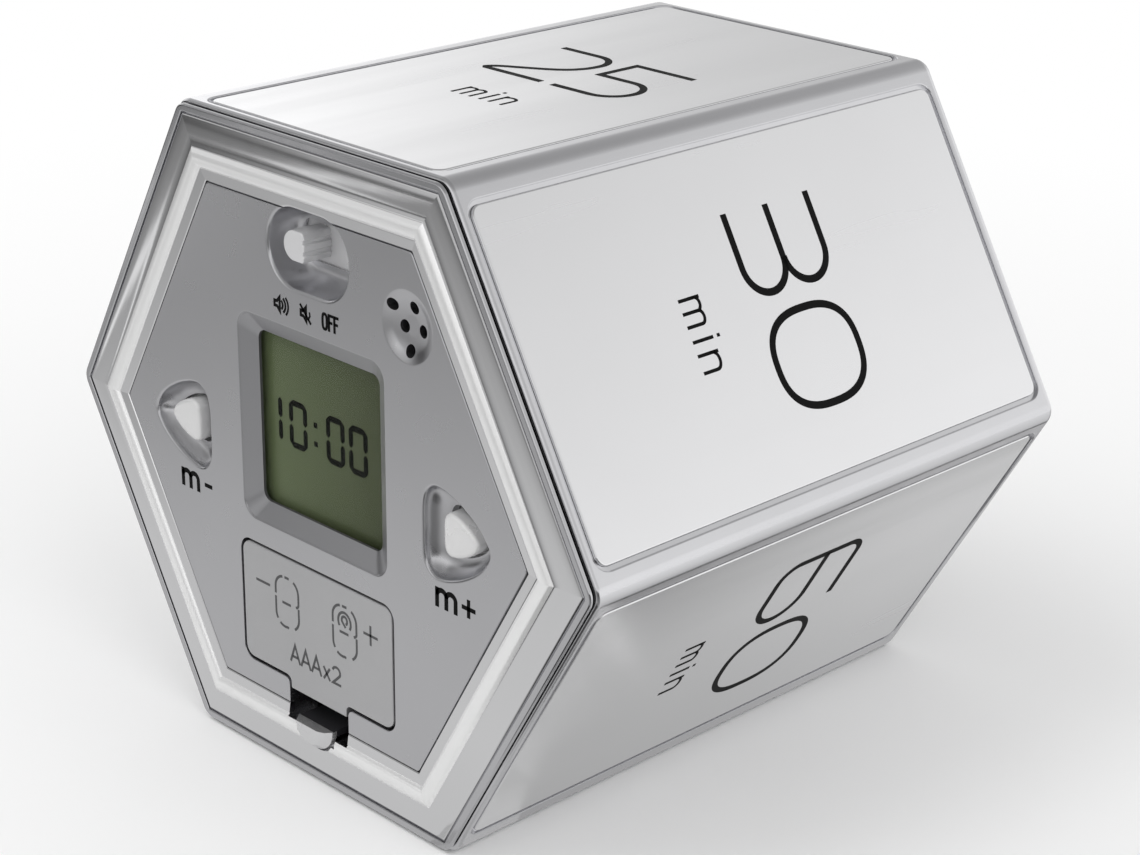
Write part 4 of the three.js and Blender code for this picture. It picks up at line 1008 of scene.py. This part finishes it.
def make_knob():
    # round on the left, ribbed along the depth on the right
    left, right, half = KNOB_X - 1.5, KNOB_X + 1.5, 1.45
    points = arc(left + half, DISH, half, half, 90, 270, 20)
    points += [(right - 0.55, DISH - half)]
    points += arc(right - 0.45, DISH - half + 0.3, 0.3, 0.3, -90, -20, 4)
    for middle in (-0.55, 0.55):
        points += [(right, DISH + middle - 0.28), (right - 0.2, DISH + middle - 0.14),
                   (right - 0.2, DISH + middle + 0.14), (right, DISH + middle + 0.28)]
    points += arc(right - 0.45, DISH + half - 0.3, 0.3, 0.3, 20, 90, 4)
    body = rounded_prism(np.array(points) + (0, 0.2), KNOB_FRONT, SHUTTER + 0.3, 0.14)
    shutter = rounded_prism(rectangle(12.4, 4.4, 0.3, KNOB_X, DISH, 4), SHUTTER, SHUTTER + 0.45, 0.06)
    add(body, shutter)
    add(body, block(2.8, 2.8, SHUTTER + 0.1, 5.6, KNOB_X, DISH))
    cut(body, block(1.8, 1.8, 4.6, 6.6, KNOB_X, DISH))
    finished(body, "switch_knob", "knob", "slide_switch", ["slide_knob"])


def make_button(side, name, node_name, body_name):
    outline = button_outline(side, 17.9, 4.6, 2.15)
    centre = outline.mean(axis=0)
    # a softly crowned top, a rounded edge and straight sides
    loops = [at(centre + (outline - centre) * share, KEY_TOP + 0.16 * share ** 2)
             for share in (0.02, 0.2, 0.4, 0.6, 0.74, 0.83)]
    loops += [at(grown(outline, -0.3 * left), KEY_TOP + 0.14 + 0.36 * done) for left, done in quarter(5, 1)]
    body = loft(loops + [at(outline, 3.6), at(outline, 4.0)])
    add(body, prism(button_outline(side, 17.2, 6.0, 2.85), 3.4, 4.0))
    finished(body, name, "button", body_name, [node_name], angle=40)


# ---- battery door and latch

# where the straight legs of the clip lie along the depth, and how it bends at their end
LEG_FRONT, LEG_BACK = 1.75, 4.4
BEND_MIDDLE = (TAB_BOTTOM + CLIP_LOWER) / 2
BEND_INNER = (CLIP_LOWER - TAB_BOTTOM) / 2
BEND_OUTER = BEND_INNER + CLIP_THICK


def across(outline, width, x=0.0):
    """A slab that runs across the timer, from an outline of depth and height."""
    return loft([np.array([(x + side * width / 2, depth, height) for depth, height in outline])
                 for side in (-1, 1)])


def bend_half(side, steps=16):
    """Half of the bend between the door and the latch, less half of a gap of 0.3 mm."""
    gap = 0.3 / (BEND_INNER + BEND_OUTER)
    outline = []
    for radius, order in ((BEND_OUTER, range(steps + 1)), (BEND_INNER, range(steps, -1, -1))):
        for step in order:
            a = math.pi / 2 - step / steps * (math.pi / 2 - gap)
            outline.append((LEG_BACK + radius * math.cos(a), side * radius * math.sin(a) - BEND_MIDDLE))
    return across(outline, CLIP_WIDE)


def door_marks():
    """The signs sunk into the door: polarity, two cells and their size."""
    paths = [
        [(-9.35, -13.95), (-7.2, -13.95)],
        [(6.85, -13.95), (8.9, -13.95)],
        [(7.87, -12.92), (7.87, -14.98)],
    ]
    for x in (-4.58, 4.08):
        # tall rounded outlines with a few breaks in them
        half, top, bottom, r = 1.74, -12.3, -17.6, 1.35
        left, right, low = x - half, x + half, bottom + r
        paths += [
            arc(left + r, top - r, r, r, 100, 180, 8) + [(left, -14.4)],
            arc(right - r, top - r, r, r, 62, 0, 6) + [(right, -14.45)]
            + arc(right - 0.62, -14.6, 0.62, 0.42, 0, -70, 4),
            [(left, -14.7), (left, low)] + arc(left + r, low, r, r, 180, 215, 4),
            arc(left + r, low, r, r, 235, 285, 6) + [(x + 0.15, bottom)],
            arc(right - r, low, r, r, -60, 0, 6) + [(right, -15.05)],
            [(x - 0.75, -15.05), (x + 0.55, -15.05)],
            [(x - 0.3, top), (x + 0.35, top)],
        ]
        if x > 0:
            paths.append(arc(x, -13.9, 0.92, 0.98, -35, 215, 18))
            paths.append(arc(x, -13.75, 0.4, 0.42, -60, 200, 10) + [(x + 0.15, -14.45)])
    # AAAx2
    base, tall = -21.0, 1.85
    for x in (-4.3 + k * 1.62 for k in range(3)):
        paths.append([(x, base), (x + 0.72, base + tall), (x + 1.44, base)])
        paths.append([(x + 0.3, base + 0.62), (x + 1.14, base + 0.62)])
    paths.append([(0.75, base), (1.7, base + 1.3)])
    paths.append([(0.75, base + 1.3), (1.7, base)])
    paths.append(arc(2.68, base + 1.3, 0.56, 0.54, 165, -25, 10) + [(2.15, base + 0.08), (3.35, base + 0.08)])
    return paths


def make_door():
    outline = tabbed(-11.15, 11.15, -9.85, -22.35, 1.2, 4.15, -TAB_BOTTOM, 70)
    body = rounded_prism(outline, PANEL_FRONT, 2.0, 0.12)
    leg = block(CLIP_WIDE, CLIP_THICK, LEG_FRONT, LEG_BACK, 0, CLIP_THICK / 2 - TAB_BOTTOM)
    add(body, leg, bend_half(1))
    hook = [(1.75, -10.85), (3.8, -10.85), (3.8, -8.65), (2.8, -8.65), (2.8, -9.85), (1.75, -9.85)]
    for side in (-1, 1):
        add(body, across(hook, 2.4, side * 9.5))
    finished(body, "door_panel", "door", "battery_door", ["battery_door"])
    pieces = []
    for path in door_marks():
        shifted = [(x + 0.2, height + 0.38) for x, height in path]
        pieces.append(stroke(shifted, 0.27, front_place(PANEL_FRONT), -0.05, 0.012))
    finished(joined(pieces), "door_marks", "mark", "battery_door", weighted=False)


# the finger pad from its front: how much smaller its radius is, and the depth
PAD = [(0.9, -0.88), (0.74, -0.85), (0.14, -0.06), (0.03, 0.06), (0, 0.2), (0, 0.6)]


def make_latch():
    body = block(CLIP_WIDE, CLIP_THICK, 0.35, LEG_BACK, 0, -CLIP_LOWER - CLIP_THICK / 2)
    add(body, bend_half(-1))
    angles = [math.pi * (1 + k / 28) for k in range(29)]

    def half_disc(radius):
        return np.array([(radius * math.cos(a), radius * math.sin(a) - CLIP_LOWER) for a in angles])

    pad = loft([at(half_disc(PAD_RADIUS - inset), depth) for inset, depth in PAD])
    # a narrow facet at its right end
    facet = mesh_object("facet", [
        (1.3, -1.5, -24), (1.3, -1.5, -31), (1.3, -0.89, -31), (1.3, -0.89, -24),
        (3.7, -1.5, -24), (3.7, -1.5, -31), (3.7, 0.1, -31), (3.7, 0.1, -24),
    ], [(0, 1, 2, 3), (4, 7, 6, 5), (0, 4, 5, 1), (1, 5, 6, 2), (2, 6, 7, 3), (3, 7, 4, 0)])
    cut(pad, facet)
    add(body, pad)
    finished(body, "finger_pad", "pad", "door_latch", ["door_latch"], angle=20)

    # the arm behind the pad takes the black: painted shade in the notch before the latch
    def behind_pad(x, depth, height):
        return depth > 0.61 or depth > 0.34 and height > -CLIP_LOWER - 0.01

    second_material(body, "black", behind_pad)


# ---- screws and cells

# Profiles of a rear screw and of a cell from its plus end: radius, and depth from the bearing or the end
SCREW = [(0.8, -6), (0.8, 0), (1.72, 0), (1.8, 0.08), (1.8, 0.55), (1.7, 0.75), (1.45, 0.9), (1.0, 0.98),
         (0.3, 1.0)]
CELL = [(0.6, 0.0), (1.7, 0.0), (1.88, 0.12), (1.9, 0.3), (1.9, 0.95), (3.4, 1.0), (3.5, 1.12), (4.7, 1.16),
        (4.95, 1.3), (5.2, 1.75), (5.2, 43.6), (5.05, 44.15), (4.7, 44.4), (4.1, CELL_LONG), (0.6, CELL_LONG)]


def make_rear_screws():
    for number, (x, height) in enumerate(BOSSES, 1):
        body = loft([at(circle(r, x, height, 48), REAR_BEARING + d) for r, d in SCREW])
        cut(body, block(4.6, 0.5, REAR_BEARING + 0.6, REAR_BEARING + 2, x, height))
        finished(body, "rear_fixing_%d" % number, "steel", nodes=["rear_screw_%d" % number])


def make_cell(side, name, front, profile):
    body = loft([at(circle(r, side * CELL_X, -DROP, 64), front + d) for r, d in profile])
    finished(body, "cell_" + name, "cell", nodes=["battery_" + name])


# ---- the pieces that keep their CAD shape

KEPT = {
    "foil": ["lcd_reflector"],
    "rubber": ["lcd_connector_upper", "lcd_connector_lower"],
    "board": ["main_board"],
    "black": ["lcd_holder", "slide_switch_lever", "minus_plunger", "plus_plunger", "buzzer", "battery_box"],
    "steel": [
        "slide_switch_body", "minus_switch_body", "plus_switch_body", "timing_crystal", "smoothing_capacitor",
        "rear_spring_contact", "rear_plate_contact", "door_contact", "box_screw_left", "box_screw_right",
        *("front_screw_%d" % number for number in range(1, 5)),
        *("board_screw_%s_%s" % (row, side) for row in ("upper", "lower") for side in ("left", "right")),
    ],
    "dark": ["controller_chip", "orientation_sensor", "negative_lead"],
    "red": ["positive_lead"],
}
WEAR, WEAR_ANGLE = 0.00012, 35  # metres and degrees of the bevel on their edges


def dress_kept():
    for material, names in KEPT.items():
        for name in names:
            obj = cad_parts[name]
            if len(obj.data.materials) == 0:
                obj.data.materials.append(MATERIALS[material])
            for slot in obj.material_slots:
                slot.link = "OBJECT"
                slot.material = MATERIALS[material]
            bevel = obj.modifiers.new("edges", "BEVEL")
            bevel.width = WEAR
            bevel.segments = 2
            bevel.limit_method = "ANGLE"
            bevel.angle_limit = math.radians(WEAR_ANGLE)


# ---- the stage

# What metal sees of the studio at the front left: a floor that darkens towards a black wall.
# Distance from the middle in metres, and tone.
FLOOR_TONES = [(0.03, 0.56), (0.05, 0.59), (0.08, 0.56), (0.1, 0.53), (0.13, 0.44), (0.16, 0.38),
               (0.19, 0.33), (0.24, 0.26), (0.32, 0.18), (0.45, 0.08)]
FLOOR_EDGE = 0.92
WALL_RADIUS = 0.45
# direction in degrees, and how much of the dark floor and of the wall is there
FLOOR_FADE = [(158, 0.0), (176, 1.0), (338, 1.0), (354, 0.0)]
WALL_FADE = [(158, 0.95), (172, 0.03), (219, 0.03), (227, 0.5), (285, 0.5), (305, 0.1), (338, 0.1),
             (354, 0.95)]
WALL_HEIGHTS = [(158, 0.12), (190, 0.12), (200, 0.17), (240, 0.17), (250, 0.12)]
# share of the wall's height, and of white there
WALL_ROWS = [(0.08, 0.0), (0.4, 0.0), (0.8, 0.0), (1.0, 1.0)]
# how far the floor darkens more at the front right, beyond a distance
RIGHT_SHADE, SHADE_START = [(288, 1.0), (308, 0.4), (342, 0.4), (354, 1.0)], 0.07
# At the right: x, and the tones that the front, the middle and the rear of the lower right side see
RIGHT_TONES = [
    (0.016, 0.38, 0.42, 0.48), (0.022, 0.42, 0.45, 0.52), (0.028, 0.43, 0.52, 0.61),
    (0.032, 0.40, 0.58, 0.68), (0.0355, 0.40, 0.64, 0.76), (0.0363, 0.05, 0.06, 0.07),
    (0.0415, 0.05, 0.06, 0.07), (0.045, 0.5, 0.6, 0.65), (0.053, 0.62, 0.68, 0.72),
    (0.061, 0.68, 0.72, 0.75), (0.075, 0.78, 0.8, 0.8), (0.10, 0.82, 0.84, 0.85), (0.14, 0.86, 0.88, 0.9),
]
RIGHT_DEPTHS = (0.005, 0.033, 0.06)
# how far the mirrored place moves to the rear for each metre of x, from a start up to an end
SLANT, SLANT_START, SLANT_END = 1.465, 0.0188, 0.0375
# heights of the sheets above the floor
SHEET, UPPER_SHEET = 0.0004, 0.0007
# where the floor turns into the white of the background
FADE_START, FADE_END = 0.05, 0.24
# the reflected sky by the sine of its elevation
SKY_TONES = [(0.0, 1.0), (0.22, 1.0), (0.29, 0.95), (0.39, 0.78), (0.48, 0.66), (0.64, 0.45), (0.78, 0.36),
             (1.0, 0.3)]
# places of that sky: direction, the cosines off it where the place starts and is full, and its factor
SKY_PLACES = [
    ((math.cos(math.radians(115)) * 0.974, math.sin(math.radians(115)) * 0.974, 0.225), 0.87, 0.98, 0.62),
    ((-0.669, -0.614, 0.416), 0.9, 0.98, 0.4),
    ((math.cos(math.radians(149)) * 0.974, math.sin(math.radians(149)) * 0.974, 0.225), 0.965, 0.996, 1.35),
]


def build_floor():
    """A pale floor that fades into the white of the background."""
    reaches, sides = (0.02, 0.05, 0.1, 0.2, 0.4, 0.8, 1.6, 3.0), 64
    points = [(0, 0, 0)] + [(x, y, 0) for reach in reaches for x, y in circle(reach, sides=sides)]
    faces = [(0, 1 + k, 1 + (k + 1) % sides) for k in range(sides)]
    faces += [tuple(1 + corner for corner in face) for face in wall_faces(len(reaches), sides)]
    floor = mesh_object("floor", points, faces)
    if floor.data.polygons[0].normal.z < 0:
        floor.data.flip_normals()
    made = bpy.data.materials.new("pale_floor")
    tree = emptied_tree(made)
    place = node(tree, "TexCoord").outputs["Object"]
    far = node(tree, "VectorMath", {0: place}, operation="LENGTH").outputs["Value"]
    fade = ranged(tree, far, FADE_START, FADE_END, 0.0, 1.0, interpolation_type="SMOOTHSTEP")
    matte = node(tree, "BsdfDiffuse", {"Color": (0.9, 0.9, 0.9, 1)})
    glow = node(tree, "Emission", {"Color": (1, 1, 1, 1)})
    mix = node(tree, "MixShader", {"Fac": fade, 1: matte.outputs[0], 2: glow.outputs[0]})
    node(tree, "OutputMaterial", {0: mix.outputs[0]})
    floor.data.materials.append(made)


def toned_sheet(name, rows, material):
    """A sheet that only reflections see, from rows of points, each with its tone."""
    count = len(rows[0])
    entries = [entry for row in rows for entry in row]
    faces = [(a, a + 1, a + count + 1, a + count)
             for start in range(0, count * (len(rows) - 1), count) for a in range(start, start + count - 1)]
    sheet = mesh_object(name, [entry[:3] for entry in entries], faces)
    attribute = sheet.data.attributes.new("tone", "FLOAT_COLOR", "POINT")
    for target, entry in zip(attribute.data, entries):
        target.color = (entry[3], entry[3], entry[3], 1)
    sheet.data.materials.append(material)
    for kind in ("camera", "diffuse", "transmission", "shadow", "volume_scatter"):
        setattr(sheet, "visible_" + kind, False)


def pick(stops, place):
    return float(np.interp(place, *zip(*stops)))


def build_reflections():
    tones = bpy.data.materials.new("reflected_tones")
    tree = emptied_tree(tones)
    painted = node(tree, "Attribute", attribute_name="tone").outputs["Color"]
    glow = node(tree, "Emission", {"Color": painted})
    node(tree, "OutputMaterial", {0: glow.outputs[0]})

    # the floor at the front, with a wall behind it
    rows = []
    for degrees in np.arange(158, 355, 2):
        x, y = math.cos(math.radians(degrees)), math.sin(math.radians(degrees))
        share, wall, top = (pick(stops, degrees) for stops in (FLOOR_FADE, WALL_FADE, WALL_HEIGHTS))
        row = []
        for reach, tone in FLOOR_TONES:
            shade = pick(RIGHT_SHADE, degrees) if reach > SHADE_START else 1
            row.append((reach * x, reach * y, SHEET, tone * shade * share + FLOOR_EDGE * (1 - share)))
        for height, white in WALL_ROWS:
            row.append((WALL_RADIUS * x, WALL_RADIUS * y, height * top, wall * (1 - white) + white))
        rows.append(row)
    toned_sheet("reflected_front", rows, tones)
    # the floor at the right: the lower right side mirrors it along a slant
    rows = []
    for y in np.linspace(-0.035, 0.16, 40):
        row = []
        for x, *across_depth in RIGHT_TONES:
            depth = (y - CREST * MM) - SLANT * (min(x, SLANT_END) - SLANT_START)
            row.append((x, y, SHEET, pick(list(zip(RIGHT_DEPTHS, across_depth)), depth)))
        rows.append(row)
    toned_sheet("reflected_right", rows, tones)
    # a dark place on the floor before the lower right edge
    rows = []
    for j, y in enumerate(np.linspace(-0.08, -0.036, 7)):
        rows.append([(x, y, UPPER_SHEET, 0.6 if i in (0, 6) or j in (0, 6) else 0.06)
                     for i, x in enumerate(np.linspace(0.02, 0.062, 7))])
    toned_sheet("reflected_corner", rows, tones)
    # a slanting pale band on the floor at the far left
    rows = []
    for share in np.linspace(0, 1, 9):
        x, y = -0.148 - 0.062 * share, -0.075 - 0.16 * share
        rows.append([(x + offset, y, UPPER_SHEET, tone)
                     for offset, tone in ((-0.013, 0.3), (-0.006, 0.85), (0.006, 0.85), (0.013, 0.3))])
    toned_sheet("reflected_band", rows, tones)


def build_world():
    """White for the camera, an even light for matter, and the toned sky for reflections."""
    world = bpy.data.worlds.new("studio")
    bpy.context.scene.world = world
    tree = emptied_tree(world)
    way = node(tree, "TexCoord").outputs["Generated"]
    rise = node(tree, "SeparateXYZ", {0: way}).outputs["Z"]
    tone = ramp(tree, rise, [(position, (grey, grey, grey)) for position, grey in SKY_TONES])
    for direction, start, full, factor in SKY_PLACES:
        near = node(tree, "VectorMath", {0: way, 1: direction}, operation="DOT_PRODUCT").outputs["Value"]
        tone = calculated(tree, "MULTIPLY", tone, ranged(tree, near, start, full, 1.0, factor))
    path = node(tree, "LightPath").outputs
    plain = calculated(tree, "MAXIMUM", path["Is Camera Ray"], path["Is Transmission Ray"])
    level = ranged(tree, plain, 0.0, 1.0, 0.7, 1.0)
    seen = node(tree, "Mix", {"Factor": path["Is Glossy Ray"], "A": level, "B": tone}, data_type="FLOAT")
    back = node(tree, "Background", {"Color": (1, 1, 1, 1), "Strength": seen.outputs[0]})
    node(tree, "OutputWorld", {0: back.outputs[0]})


def build_lamp(name, location, size, power):
    """A square lamp that points at the timer and that only matter sees."""
    data = bpy.data.lights.new(name, "AREA")
    data.shape = "RECTANGLE"
    data.size = data.size_y = size
    data.energy = power
    obj = bpy.data.objects.new(name, data)
    obj.location = location
    direction = Vector((0, 0, 0.03)) - Vector(location)
    obj.rotation_euler = direction.to_track_quat("-Z", "Y").to_euler()
    bpy.context.scene.collection.objects.link(obj)
    obj.visible_camera = False
    obj.visible_glossy = False


def build_camera():
    data = bpy.data.cameras.new("camera")
    data.sensor_fit = "HORIZONTAL"
    data.sensor_width = 36.0
    data.lens = 80.449
    data.clip_start = 0.005
    data.clip_end = 20.0
    obj = bpy.data.objects.new("camera", data)
    right = Vector((0.696881, 0.717113, 0.010298))
    up = Vector((-0.271386, 0.250384, 0.929332))
    back = Vector((0.663857, -0.650429, 0.369102))
    turn = Matrix((right, up, back)).transposed()
    obj.matrix_world = Matrix.Translation((0.172722, -0.167497, 0.124399)) @ turn.to_4x4()
    bpy.context.scene.collection.objects.link(obj)
    bpy.context.scene.camera = obj


build_camera()
build_floor()
build_reflections()
build_world()
build_lamp("key", (-0.35, -0.45, 0.75), 0.7, 3.0)
build_lamp("fill", (0.6, -0.1, 0.55), 0.6, 1.8)
make_housing()
for position, minutes in enumerate(("25", "30", "60", "05", "10", "15")):
    make_plate(position, minutes)
make_front_ring()
make_seam_strip()
make_moulding()
make_rear_cover()
make_panel()
make_panel_prints()
make_display()
make_knob()
make_button(-1, "key_minus", "minus_button", "minus_key")
make_button(1, "key_plus", "plus_button", "plus_key")
make_door()
make_latch()
make_rear_screws()
make_cell(1, "right", 2.7, CELL)
make_cell(-1, "left", 5.8, [(r, CELL_LONG - d) for r, d in reversed(CELL)])
dress_kept()

bpy.context.scene.view_settings.view_transform = "Standard"
